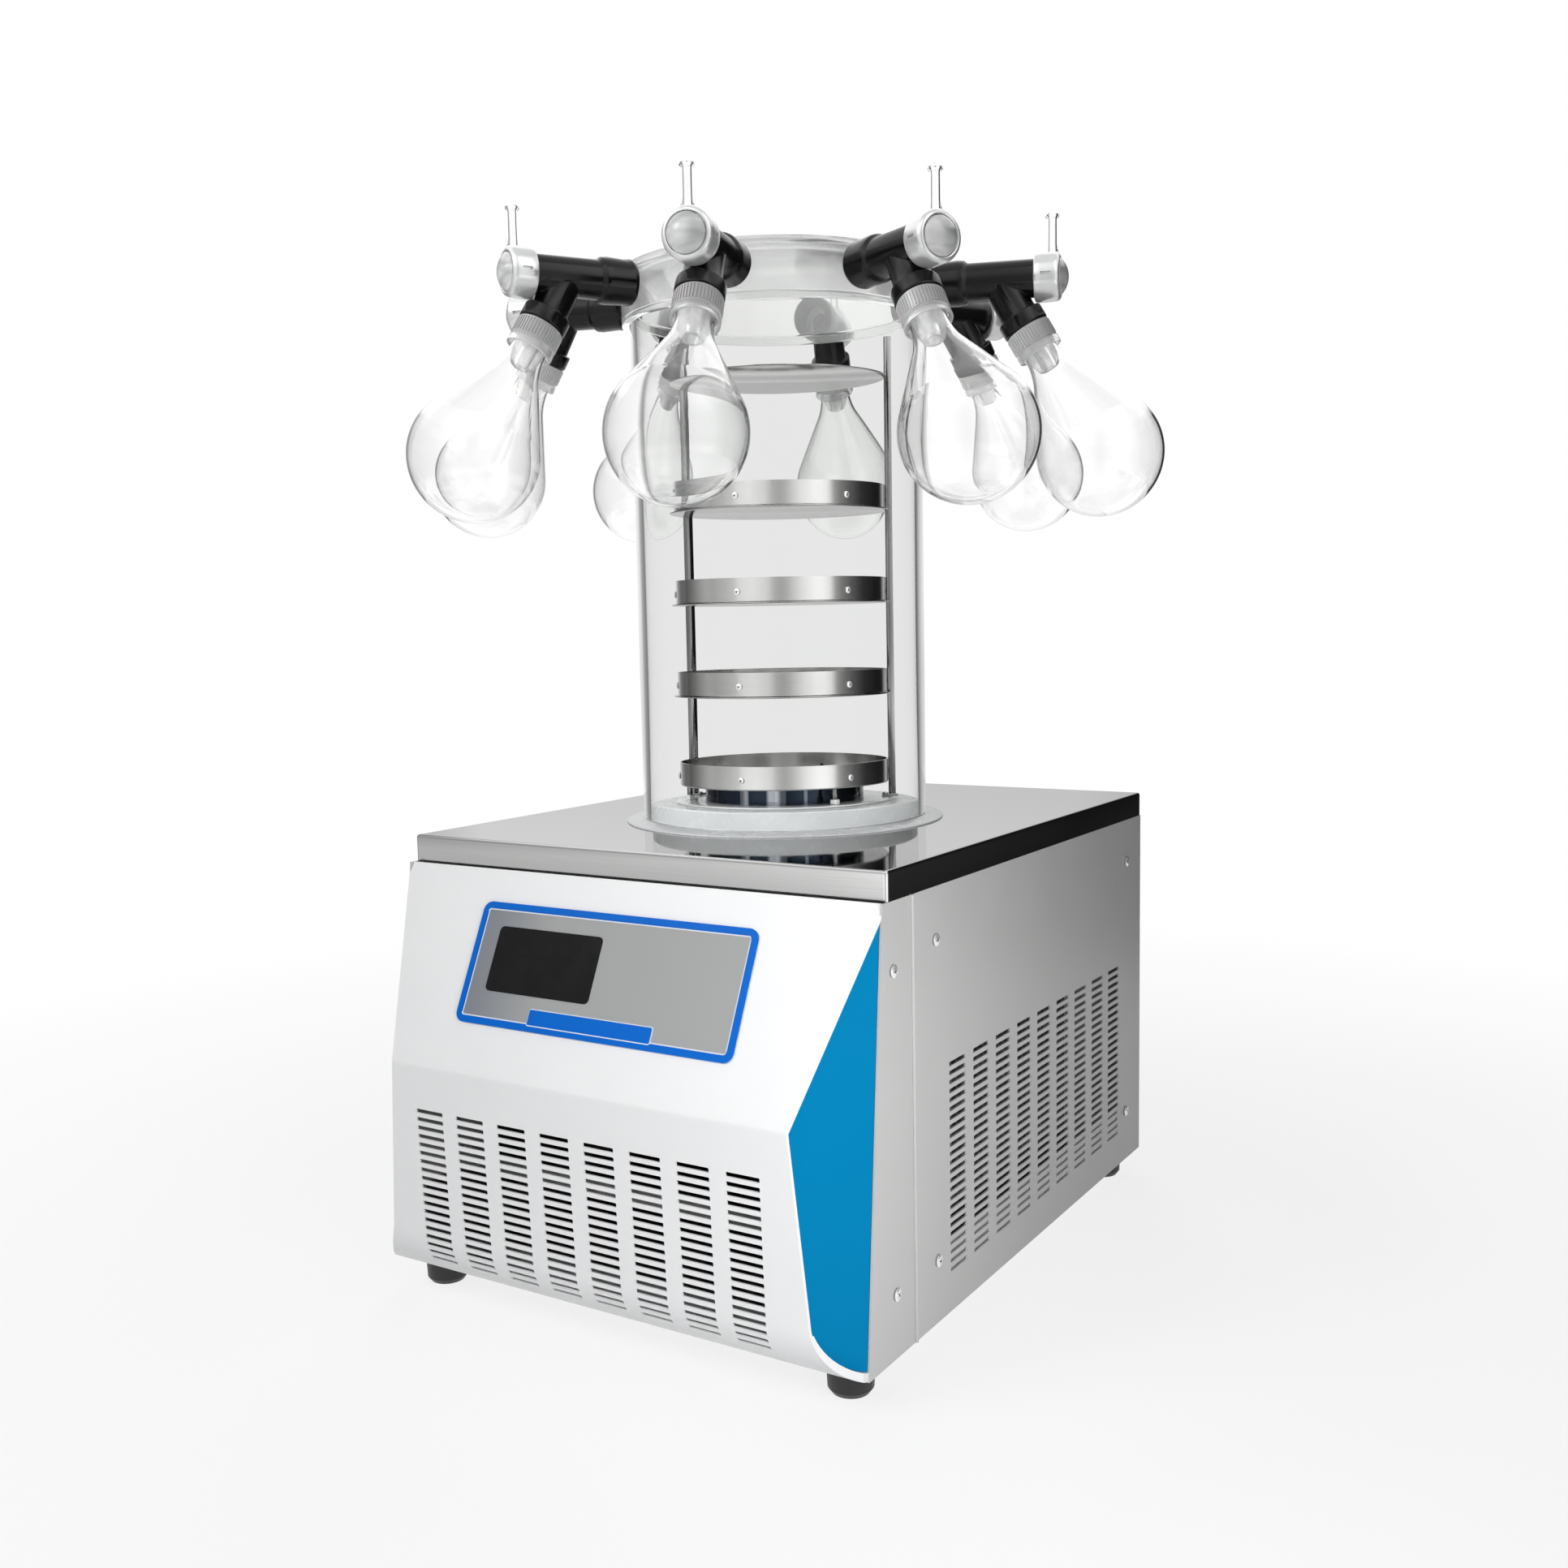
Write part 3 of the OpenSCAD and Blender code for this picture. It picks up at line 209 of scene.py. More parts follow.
# And its share of that by height in metres: the boxes are strongest above the object and near the floor
SHARES = [(0, 1.6), (0.18, 1.9), (0.27, 1.35), (0.45, 1.0), (0.6, 1.25), (1.0, 1.25), (1.5, 2.2)]
RING_R, RING_TOP, RING_FOOT = 1.3, 3.05, -0.05

panel_material = bpy.data.materials.new("panels")
tree = emptied(panel_material)
bearing, height = bearing_and_height(tree)
round_share = ranged(tree, bearing, From_Min=-math.pi, From_Max=math.pi)
bands = ramped(tree, round_share, [((angle + 180) / 360, grey) for angle, grey in PANELS])
up_share = maths(tree, "DIVIDE", height, RING_TOP)
fall = ramped(tree, up_share, [(at / RING_TOP, grey) for at, grey in SHARES])
ceiling = ranged(tree, height, From_Min=1.35, From_Max=1.6, To_Max=1.5)
brightness = maths(tree, "MAXIMUM", maths(tree, "MULTIPLY", bands, fall), ceiling)
path = wire(tree, "ShaderNodeLightPath")
unreflected = maths(tree, "LESS_THAN", path.outputs["Glossy Depth"], 0.5)
shade = blended(tree, unreflected, brightness, (1, 1, 1))
glow = wire(tree, "ShaderNodeEmission", {0: shade}, Strength=1.0)
wire(tree, "ShaderNodeOutputMaterial", {0: glow.outputs[0]})

bm = bmesh.new()
bmesh.ops.create_cone(bm, segments=120, radius1=RING_R, radius2=RING_R, depth=RING_TOP - RING_FOOT)
bmesh.ops.translate(bm, verts=bm.verts, vec=(0, 0, (RING_TOP + RING_FOOT) / 2))
ring = shown("panels", bm, panel_material)
ring.visible_camera = ring.visible_diffuse = ring.visible_shadow = False
print("ring of", len(PANELS), "bands,", RING_R * 2, "m across")


# %% Studio: lamps
def lamp(name, place, aim, size, watts, seen=False, spread=180):
    """A square soft box. Only where it is seen do metal and glass show it."""
    data = bpy.data.lights.new(name, "AREA")
    data.shape, data.size, data.energy, data.spread = "SQUARE", size, watts, math.radians(spread)
    o = bpy.data.objects.new(name, data)
    o.location = place
    o.rotation_mode = "QUATERNION"
    o.rotation_quaternion = (Vector(aim) - Vector(place)).to_track_quat("-Z", "Y")
    o.visible_camera = False
    o.visible_glossy = o.visible_transmission = seen
    scene.collection.objects.link(o)


lamp("key", (-1.5, -2.3, 2.3), (0, 0, 0.4), size=1.3, watts=52, seen=True)
lamp("side", (0.72, -0.62, 0.35), (0.225, -0.32, 0.25), size=0.5, watts=1.6, spread=100)
lamp("top", (0, 0.2, 2.8), (0, 0, 0.4), size=1.4, watts=14)
lamp("rear", (-1.3, 2.4, 2.0), (0, 0, 0.4), size=1.3, watts=24)

# %% [markdown]
# ## Shared effects
# Some effects are needed by more than one finish, so each is a node group that is built once:
# fine lines left by brushing, the skin of powder coat, soft handling marks, and an outline
# that tells how far a place lies from the edge of a rounded rectangle. A group only puts out
# values, so every material keeps its own shader.

# %% Effect groups
def effect(name, inputs, outputs):
    """Starts a group, and gives it with its ins and its outs."""
    group = bpy.data.node_groups.new(name, "ShaderNodeTree")
    for label, default in inputs.items():
        kind = "NodeSocketVector" if label == "Vector" else "NodeSocketFloat"
        socket = group.interface.new_socket(label, in_out="INPUT", socket_type=kind)
        if default is not None:
            socket.default_value = default
    for label in outputs:
        group.interface.new_socket(label, in_out="OUTPUT", socket_type="NodeSocketFloat")
    return group, group.nodes.new("NodeGroupInput").outputs, group.nodes.new("NodeGroupOutput").inputs


def noise(group, vector, scale, **values):
    return wire(group, "ShaderNodeTexNoise", {"Vector": vector, "Scale": scale}, **values).outputs["Fac"]


brushing, given, put = effect("Brushed Lines", {"Vector": None, "Scale": 1.0}, ["Lines"])
fine = noise(brushing, given["Vector"], given["Scale"], Detail=6.0, Roughness=0.62)
brushing.links.new(ranged(brushing, fine, From_Min=0.3, From_Max=0.7), put["Lines"])

coating, given, put = effect("Powder Coat", {"Vector": None, "Scale": 900.0}, ["Height", "Mottle"])
grain = noise(coating, given["Vector"], given["Scale"], Detail=2.0, Roughness=0.5)
larger = maths(coating, "MULTIPLY", given["Scale"], 0.02)
mottle = noise(coating, given["Vector"], larger, Detail=3.0)
coating.links.new(grain, put["Height"])
coating.links.new(mottle, put["Mottle"])

handling, given, put = effect("Handling Marks", {"Vector": None, "Scale": 12.0, "Cover": 0.5}, ["Marks"])
patches = noise(handling, given["Vector"], given["Scale"], Detail=5.0, Roughness=0.7, Distortion=0.6)
start = maths(handling, "SUBTRACT", 1.0, given["Cover"])
marks = wire(handling, "ShaderNodeMapRange", {"Value": patches, "From Min": start}, From_Max=0.95)
handling.links.new(marks.outputs[0], put["Marks"])

RECTANGLE = {"Vector": None, "Half Width": 0.1, "Half Height": 0.05, "Corner": 0.01}
outline, given, put = effect("Rounded Outline", RECTANGLE, ["Distance"])
place = wire(outline, "ShaderNodeSeparateXYZ", {0: given["Vector"]})
beyond = []
for axis, half in (("X", "Half Width"), ("Y", "Half Height")):
    past = maths(outline, "SUBTRACT", maths(outline, "ABSOLUTE", place.outputs[axis]), given[half])
    beyond.append(maths(outline, "ADD", past, given["Corner"]))
clipped = [maths(outline, "MAXIMUM", past, 0.0) for past in beyond]
flat = wire(outline, "ShaderNodeCombineXYZ", {0: clipped[0], 1: clipped[1]})
outside = wire(outline, "ShaderNodeVectorMath", {0: flat.outputs[0]}, operation="LENGTH")
inside = maths(outline, "MINIMUM", maths(outline, "MAXIMUM", *beyond), 0.0)
total = maths(outline, "ADD", outside.outputs["Value"], inside)
outline.links.new(maths(outline, "SUBTRACT", total, given["Corner"]), put["Distance"])
print("effects:", [g.name for g in bpy.data.node_groups])

# %% [markdown]
# ## Finishes
# `finish` starts a material and sets the plain values on its shader. `mapped` gives the
# object's own coordinates, stretched where a pattern runs one way, and `placed` lays an effect
# on them. `tinted`, `roughened` and `raised` turn a mask from it into two colours, a range of
# roughness and a fine relief.

# %% Tools for a finish
def opened(material):
    return material.node_tree, material.node_tree.nodes["Principled BSDF"]


def finish(name, **values):
    material = bpy.data.materials.new(name)
    material.use_nodes = True
    tree, shader = opened(material)
    for socket, value in values.items():
        shader.inputs[socket.replace("_", " ")].default_value = value
    return material, tree, shader


def mapped(tree, stretch=(1, 1, 1), place=(0, 0, 0), turn=(0, 0, 0), kind="POINT"):
    mapping = wire(tree, "ShaderNodeMapping", {"Vector": own_place(tree)}, vector_type=kind)
    for socket, value in (("Scale", stretch), ("Location", place), ("Rotation", turn)):
        mapping.inputs[socket].default_value = value
    return mapping.outputs[0]


def placed(tree, group, vector, **values):
    """Puts an effect into a material and gives its outputs."""
    node = wire(tree, "ShaderNodeGroup", node_tree=group)
    tree.links.new(vector, node.inputs["Vector"])
    for socket, value in values.items():
        node.inputs[socket.replace("_", " ")].default_value = value
    return node.outputs


def roughened(tree, shader, mask, low, high):
    tree.links.new(ranged(tree, mask, To_Min=low, To_Max=high), shader.inputs["Roughness"])


def raised(tree, shader, height, depth, strength=1.0):
    bump = wire(tree, "ShaderNodeBump", {"Height": height}, Strength=strength, Distance=depth)
    tree.links.new(bump.outputs[0], shader.inputs["Normal"])


def tinted(tree, shader, mask, low, high):
    tree.links.new(blended(tree, mask, low, high), shader.inputs["Base Color"])


def shares(colour, share):
    """A colour made darker or lighter."""
    return tuple(c * share for c in colour)


def wear(name, material):
    """Gives a node of the frame its finish."""
    node = nodes[name]
    node.data.materials.clear()
    node.data.materials.append(material)


print("finish tools ready")

# %% [markdown]
# ### Painted sheet
# The cabinet is powder coated: a baked skin with a very fine orange peel, evenly satin. The
# front is white, the frame, the sides and the back are pale grey, and the cheeks are blue. One
# function makes all three, because only their colour and gloss differ.

# %% Painted sheet
def paint(name, colour, shade, rough, gloss):
    material, tree, shader = finish(name, Specular_IOR_Level=gloss)
    skin = placed(tree, coating, mapped(tree), Scale=1100.0)
    tinted(tree, shader, skin["Mottle"], shade, colour)
    touched = placed(tree, handling, mapped(tree), Scale=9.0, Cover=0.5)
    both = maths(tree, "ADD", skin["Mottle"], touched["Marks"])
    roughened(tree, shader, both, rough - 0.05, rough + 0.06)
    raised(tree, shader, skin["Height"], 0.00006, 0.5)
    return material


white_paint = paint("white_powder_coat", (0.835, 0.84, 0.845), (0.81, 0.815, 0.82), rough=0.34, gloss=0.3)
grey_paint = paint("grey_powder_coat", (0.56, 0.56, 0.555), (0.53, 0.53, 0.525), rough=0.36, gloss=0.3)
blue_paint = paint("blue_enamel", (0.0, 0.205, 0.44), (0.0, 0.195, 0.42), rough=0.3, gloss=0.04)
for name in ("front_frame", "side_panel_left", "side_panel_right", "back_panel"):
    wear(name, grey_paint)
wear("front_panel", white_paint)
wear("cheeks", blue_paint)
print("painted:", white_paint.name, grey_paint.name, blue_paint.name)

# %% [markdown]
# ### Steel
# The top is polished stainless sheet, the trays are brushed round their rims, and the pan is
# galvanised. Brushing is drawn by stretching noise along one direction: it breaks up the
# roughness and lays fine furrows. Anisotropy then smears the highlights across the lines.

# %% Steel
def steel(name, colour, rough, stretch, furrow=0.000004, **values):
    material, tree, shader = finish(name, **{"Metallic": 1.0, **values})
    lines = placed(tree, brushing, mapped(tree, stretch), Scale=1.0)
    marks = placed(tree, handling, mapped(tree), Scale=14.0, Cover=0.48)
    tinted(tree, shader, lines["Lines"], shares(colour, 0.93), colour)
    streaked = ranged(tree, lines["Lines"], To_Min=rough * 0.85, To_Max=rough * 1.2)
    tree.links.new(maths(tree, "MULTIPLY_ADD", marks["Marks"], 0.05, streaked), shader.inputs["Roughness"])
    raised(tree, shader, lines["Lines"], furrow, 0.6)
    return material


polished = steel("polished_steel", (0.72, 0.72, 0.715), 0.1, (20, 2200, 2200))
sheet_steel = steel("mirror_sheet_steel", (0.48, 0.48, 0.477), 0.035, (12, 900, 900), furrow=0.000001)
channel = steel("channel_steel", (0.3, 0.3, 0.3), 0.12, (2500, 2500, 30))
# The cold trap's steel is painted dark, as shade inside the cabinet, which dims its highlights
trap_steel = steel("trap_steel", (0.22, 0.22, 0.22), 0.55, (60, 90, 60))
shelf_steel = steel("shelf_steel", (0.52, 0.52, 0.515), 0.16, (40, 900, 900))
disc_steel = steel("satin_disc_steel", (0.95, 0.955, 0.96), 0.18, (300, 300, 300), Metallic=0.5)
galvanised = steel("galvanised_steel", (0.6, 0.61, 0.62), 0.38, (60, 90, 60))
brass = steel("brass", (0.78, 0.6, 0.3), 0.24, (900, 900, 120))
copper = steel("copper_tube", (0.82, 0.5, 0.36), 0.28, (200, 200, 900))

# The rims of the trays are brushed round their own axis
band = steel("brushed_band_steel", (0.74, 0.735, 0.73), 0.13, (60, 60, 4000), Anisotropic=0.7,
             Anisotropic_Rotation=0.25)
tree, shader = opened(band)
round_axis = wire(tree, "ShaderNodeTangent", direction_type="RADIAL", axis="Z")
tree.links.new(round_axis.outputs[0], shader.inputs["Tangent"])

# A screw is dark where its attribute is 1: painted shade in its cross and round its foot
chrome = steel("screw_chrome", (0.9, 0.905, 0.91), 0.22, (900, 900, 900), Metallic=0.6)
tree, shader = opened(chrome)
painted_shade = wire(tree, "ShaderNodeAttribute", attribute_name="painted_shade")
bright = shader.inputs["Base Color"].links[0].from_socket
tree.links.new(blended(tree, painted_shade.outputs["Fac"], bright, (0.03, 0.03, 0.032)), shader.inputs["Base Color"])

# The drum under the trays is mirror polished; its dark and bright bands are painted reflections in its colour
drum_steel = steel("drum_steel", (0.7, 0.71, 0.73), 0.06, (60, 60, 1500))
tree, shader = opened(drum_steel)
painted_reflection_noise = wire(tree, "ShaderNodeTexNoise", {"W": bearing_and_height(tree)[0]}, noise_dimensions="1D",
              Scale=3.1, Detail=2.0)
painted_reflection_bands = ranged(tree, painted_reflection_noise.outputs["Fac"], interpolation_type="STEPPED", From_Min=0.5, From_Max=0.74,
                 Steps=5.0)
tinted(tree, shader, painted_reflection_bands, (0.02, 0.03, 0.045), (0.62, 0.65, 0.69))

for name, material in (("rack_frame", channel), ("rack_base", polished), ("cold_trap", trap_steel),
                       ("base_pan", galvanised), ("trap_coil", copper), ("vacuum_port", polished),
                       ("drain_valve", brass), ("condenser", galvanised), ("top_plate", polished),
                       ("panel_screws", chrome), ("tray_screws", chrome),
                       *(("tray_%d" % i, band) for i in range(1, 5))):
    wear(name, material)
print("steels ready")

# %% [markdown]
# ### Rubber and plastic
# Moulded rubber is nearly black, with a soft wide sheen; hard plastic is a little glossier.
# Both get a faint skin and handling marks, which keep large dark areas from looking empty.

# %% Rubber and plastic
def moulded(name, colour, rough, depth=0.00005, scale=1400.0, **values):
    material, tree, shader = finish(name, **values)
    skin = placed(tree, coating, mapped(tree), Scale=scale)
    marks = placed(tree, handling, mapped(tree), Scale=30.0, Cover=0.55)
    tinted(tree, shader, skin["Mottle"], shares(colour, 0.85), shares(colour, 1.1))
    roughened(tree, shader, marks["Marks"], rough, rough + 0.15)
    raised(tree, shader, skin["Height"], depth, 0.4)
    return material


rubber = moulded("black_rubber", (0.006, 0.006, 0.0065), 0.17, Specular_IOR_Level=0.24)
foot_rubber = moulded("foot_rubber", (0.014, 0.014, 0.015), 0.45)
black_plastic = moulded("black_plastic", (0.02, 0.02, 0.021), 0.35)
red_plastic = moulded("red_plastic", (0.5, 0.02, 0.015), 0.2)
silicone = moulded("white_silicone", (0.7, 0.715, 0.725), 0.25)
grey_plastic = moulded("grey_plastic", (0.64, 0.64, 0.645), 0.3, Subsurface_Weight=0.2,
                       Subsurface_Scale=0.002)
white_plastic = moulded("white_plastic", (0.8, 0.805, 0.805), 0.2, Metallic=0.45)
# A black sheet, put in as painted shade inside the cabinet behind the left grille
foam = moulded("shade_sheet_foam", (0.012, 0.012, 0.012), 0.8, depth=0.0006, scale=900.0)
dark_paint = moulded("black_paint", (0.02, 0.02, 0.022), 0.35)

# The knobs' caps: broad swirls change their white and gloss together; grey swirls are painted reflections
cap_plastic, tree, shader = finish("cap_plastic", Coat_Weight=1.0, IOR=1.4)
swirl = wire(tree, "ShaderNodeTexNoise", {"Vector": mapped(tree, (26, 26, 70))}, Scale=1.0, Detail=0.5,
             Distortion=1.6)
painted_streaks = ranged(tree, swirl.outputs["Fac"], From_Min=0.35, From_Max=0.65)
tinted(tree, shader, painted_streaks, (0.6, 0.605, 0.605), (0.98, 0.985, 0.98))
roughened(tree, shader, painted_streaks, 0.1, 0.24)
raised(tree, shader, painted_streaks, 0.0003, 0.5)

VALVES = range(1, 9)
for name, material in (("feet", foot_rubber), ("compressor", dark_paint), ("fan_shroud", black_plastic),
                       ("fan_rotor", black_plastic), ("power_inlet", black_plastic),
                       ("power_switch", red_plastic), ("drain_knob", black_plastic),
                       ("base_gasket", silicone), ("flask_adaptors", grey_plastic),
                       *(("valve_body_%d" % i, rubber) for i in VALVES),
                       *(("valve_knob_%d" % i, white_plastic) for i in VALVES)):
    wear(name, material)
print("mouldings ready")

# %% [markdown]
# ### Glass and clear plastic
# Real glass shows as its edges. Here their darkness is painted into the colour, as painted
# shade and reflection: Layer Weight measures how far the wall turns from the eye and drives
# the tint. Lamps have to reach what stands behind glass, so shadow rays pass straight through,
# and so do rays that were reflected by metal, which would otherwise show a dark block in place of the tube.

# %% Glass and clear plastic
def clear(name, tint, edge, start, ior, rough=0.0, through=1.0):
    """Start is how far round the glass turns from the eye before its painted dark edge colour sets in."""
    material, tree, shader = finish(name, IOR=ior, Transmission_Weight=through)
    facing = wire(tree, "ShaderNodeLayerWeight", Blend=0.5)
    # The edge colour is painted shade and reflection: it darkens the wall where it turns from the eye
    rim = ranged(tree, facing.outputs["Facing"], From_Min=start, From_Max=1.0)
    tinted(tree, shader, rim, tint, edge)
    marks = placed(tree, handling, mapped(tree), Scale=10.0, Cover=0.5)
    roughened(tree, shader, marks["Marks"], rough, rough + 0.02)
    path = wire(tree, "ShaderNodeLightPath")
    see_through = wire(tree, "ShaderNodeBsdfTransparent", Color=(*(0.5 + 0.5 * c for c in tint), 1))
    passing = maths(tree, "ADD", path.outputs["Is Shadow Ray"], path.outputs["Glossy Depth"], clamp=True)
    mixed = wire(tree, "ShaderNodeMixShader", {0: passing, 1: shader.outputs[0], 2: see_through.outputs[0]})
    tree.links.new(mixed.outputs[0], tree.nodes["Material Output"].inputs[0])
    return material


# The edge colours below are painted dark outlines, nearly black on the vent glass
flask_glass = clear("flask_glass", (0.985, 0.987, 0.985), (0.22, 0.23, 0.23), start=0.91, ior=1.45)
acrylic = clear("clear_acrylic", (0.89, 0.895, 0.89), (0.89, 0.895, 0.89), start=0.88, ior=1.07)
frosted = clear("frosted_acrylic", (0.95, 0.955, 0.95), (0.83, 0.84, 0.84), start=0.6, ior=1.2, rough=0.12,
                through=0.82)
vent_glass = clear("vent_glass", (0.98, 0.985, 0.98), (0.06, 0.065, 0.065), start=0.78, ior=1.47)
skirt_plastic = clear("milky_plastic", (0.9, 0.905, 0.9), (0.62, 0.62, 0.62), start=0.65, ior=1.3,
                      rough=0.16, through=0.72)
for name, material in (("chamber_tube", acrylic), ("valve_collar", frosted), ("lid", frosted),
                       *(("flask_%d" % i, flask_glass) for i in VALVES)):
    wear(name, material)
print("glass and clear plastic ready")

# %% [markdown]
# ### Control panel
# The panel is a printed film with a blue border, a thin white line inside it, a silver field
# and a blue bar. Its print follows its own outline, so the material measures the distance to
# the edge of a rounded rectangle on the panel's plane.

# %% Control panel
PANEL_RISE, PANEL_RUN = 149.4, 70.6
BORDER, LINE, BAR_LINE, BAR_DROP, PRINT_STEP = 0.0062, 0.001, 0.0008, 0.038, 0.0001
BLUE, PALE = (0.0, 0.135, 0.6), (0.74, 0.79, 0.84)
low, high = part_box("control_overlay")
film, tree, shader = finish("printed_film", Specular_IOR_Level=0.03)
slope = math.atan2(PANEL_RISE, PANEL_RUN)
on_panel = mapped(tree, place=(low + high) / 2, turn=(slope, 0, 0), kind="TEXTURE")
edge = placed(tree, outline, on_panel, Half_Width=0.1317, Half_Height=0.0497, Corner=0.0085)["Distance"]
lowered = wire(tree, "ShaderNodeVectorMath", {0: on_panel}, operation="ADD")
lowered.inputs[1].default_value = (0, BAR_DROP, 0)
bar = placed(tree, outline, lowered.outputs[0], Half_Width=0.05825, Half_Height=0.006,
             Corner=0.0012)["Distance"]


def within(distance, limit):
    """1 where the distance is under the limit, with a soft step as fine as print."""
    return ranged(tree, distance, From_Min=limit - PRINT_STEP, From_Max=limit + PRINT_STEP, To_Min=1.0,
                  To_Max=0.0)


cloud = wire(tree, "ShaderNodeTexNoise", {"Vector": on_panel}, Scale=12.0, Detail=3.0)
across = wire(tree, "ShaderNodeSeparateXYZ", {0: on_panel})
lighter = ranged(tree, across.outputs["X"], interpolation_type="SMOOTHSTEP", From_Min=-0.135, From_Max=-0.03)
drifted = maths(tree, "MULTIPLY_ADD", cloud.outputs["Fac"], 0.2, lighter)
field = blended(tree, drifted, (0.21, 0.23, 0.26), (0.38, 0.385, 0.385))
bordered = blended(tree, within(edge, -BORDER), BLUE, PALE)
filled = blended(tree, within(edge, -BORDER - LINE), bordered, field)
lined = blended(tree, within(bar, BAR_LINE), filled, PALE)
tree.links.new(blended(tree, within(bar, 0.0), lined, BLUE), shader.inputs["Base Color"])
skin = placed(tree, coating, mapped(tree), Scale=2500.0)
roughened(tree, shader, skin["Mottle"], 0.26, 0.36)
raised(tree, shader, skin["Height"], 0.00002, 0.3)
wear("control_overlay", film)

screen, tree, shader = finish("screen_glass", Specular_IOR_Level=0.05)
marks = placed(tree, handling, mapped(tree), Scale=26.0, Cover=0.55)
tinted(tree, shader, marks["Marks"], (0.011, 0.011, 0.012), (0.016, 0.016, 0.017))
roughened(tree, shader, marks["Marks"], 0.16, 0.3)
wear("touch_screen", screen)
print("panel:", film.name, screen.name)

# %% [markdown]
# ## Pieces
# Every piece below starts as a simple bmesh shape, or as a few points spun on a lathe, and is
# then extruded, inset and bevelled. `turned` is the lathe, `soften` rounds the edges that
# would be knife sharp, and `piece` puts a finished mesh in its place on the body it moves
# with. Sizes are written in millimetres.

# %% Tools for a piece
def about_z(degrees):
    return Matrix.Rotation(math.radians(degrees), 4, "Z")


def shift(x, y, z):
    return Matrix.Translation((x * MM, y * MM, z * MM))


def points_of(geom):
    """The vertices among what an operator works on or gives back."""
    return [g for g in geom if isinstance(g, bmesh.types.BMVert)]


def whole(bm):
    return bm.verts[:] + bm.edges[:] + bm.faces[:]


def open_edges(bm):
    return [e for e in bm.edges if e.is_boundary]


def grown(bm, rim):
    """Extrudes a rim of edges and gives its new points."""
    return points_of(bmesh.ops.extrude_edge_only(bm, edges=rim)["geom"])


def close(bm):
    """Fills the open rims and turns all faces outwards."""
    bmesh.ops.holes_fill(bm, edges=open_edges(bm), sides=0)
    bmesh.ops.recalc_face_normals(bm, faces=bm.faces)


def block(size, middle=(0, 0, 0)):
    """A block, in metres."""
    bm = bmesh.new()
    bmesh.ops.create_cube(bm, size=1)
    bmesh.ops.scale(bm, vec=size, verts=bm.verts)
    bmesh.ops.translate(bm, verts=bm.verts, vec=middle)
    return bm


def turned(profile, steps=96, closed=True):
    """Spins (radius, height) points about Z. A closed profile ends where it starts."""
    bm = bmesh.new()
    points = [bm.verts.new((r * MM, 0, z * MM)) for r, z in profile]
    pairs = list(zip(points, points[1:])) + ([(points[-1], points[0])] if closed else [])
    edges = [bm.edges.new(pair) for pair in pairs]
    bmesh.ops.spin(bm, geom=points + edges, cent=(0, 0, 0), axis=(0, 0, 1), angle=2 * math.pi, steps=steps,
                   use_merge=True)
    bmesh.ops.remove_doubles(bm, verts=bm.verts, dist=1e-6)
    bmesh.ops.recalc_face_normals(bm, faces=bm.faces)
    return bm


def cut_ball(radius, height, around, along):
    """The part of a sphere above a height."""
    bm = bmesh.new()
    bmesh.ops.create_uvsphere(bm, u_segments=around, v_segments=along, radius=radius * MM)
    bmesh.ops.bisect_plane(bm, geom=whole(bm), plane_co=(0, 0, height * MM), plane_no=(0, 0, 1),
                           clear_inner=True)
    return bm


def bevelled(bm, edges, radius, segments, clamp=False):
    bmesh.ops.bevel(bm, geom=edges, offset=radius * MM, offset_type="OFFSET", segments=segments, profile=0.5,
                    affect="EDGES", clamp_overlap=clamp, material=-1)
    return bm


def soften(bm, radius, angle=35, segments=3):
    """Rounds the edges whose faces meet more sharply than the angle."""
    sharp = [e for e in bm.edges if len(e.link_faces) == 2 and e.calc_face_angle(0) > math.radians(angle)]
    return bevelled(bm, sharp, radius, segments, clamp=True)


def outwards(bm, face_up):
    """Turns an open shell's faces outwards, by a face that has to look up."""
    bmesh.ops.recalc_face_normals(bm, faces=bm.faces)
    if max(bm.faces, key=face_up).normal.z < 0:
        bmesh.ops.reverse_faces(bm, faces=bm.faces)
    return bm


def copied(bm, places):
    """Repeats the whole shape of a bmesh at each place."""
    first = whole(bm)
    for place in places[1:]:
        made = bmesh.ops.duplicate(bm, geom=first)["geom"]
        bmesh.ops.transform(bm, matrix=place, verts=points_of(made))
    bmesh.ops.transform(bm, matrix=places[0], verts=points_of(first))
    return bm


def built_up(steps):
    """Joins or cuts solids in turn: the first is the base, the rest come with UNION or DIFFERENCE."""
    solids = [shown("solid", bm) for bm, _ in steps]
    for solid, (_, operation) in zip(solids[1:], steps[1:]):
        step = solids[0].modifiers.new("step", "BOOLEAN")
        step.object, step.operation, step.solver = solid, operation, "EXACT"
    bm = bmesh.new()
    bm.from_object(solids[0], bpy.context.evaluated_depsgraph_get())
    for solid in solids:
        mesh = solid.data
        bpy.data.objects.remove(solid)
        bpy.data.meshes.remove(mesh)
    return bm


def piece(name, bm, material, body="machine", place=None, angle=40):
    """Turns a bmesh into a shown piece that rides on a body."""
    if place is not None:
        bmesh.ops.transform(bm, matrix=place, verts=bm.verts)
    for face in bm.faces:
        face.smooth = True
    for edge in bm.edges:
        edge.smooth = edge.calc_face_angle(0) < math.radians(angle)
    o = shown(name, bm, material)
    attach(o, body)
    return o


def walled(o, thickness):
    """Gives an open shell its wall, inwards from its faces."""
    wall = o.modifiers.new("wall", "SOLIDIFY")
    wall.thickness, wall.offset = thickness * MM, -1


print("piece tools ready")

# %% [markdown]
# ### Folded top
# The top is one sheet of polished stainless steel with its four sides folded down. What makes
# it read as sheet is the small radius along every fold, which catches a bright line of light.
# A cube gives the block, a bevel rounds the upright corners and then the folds, and the open
# underside gets its wall from Solidify. Weighted normals keep the large flat face true.

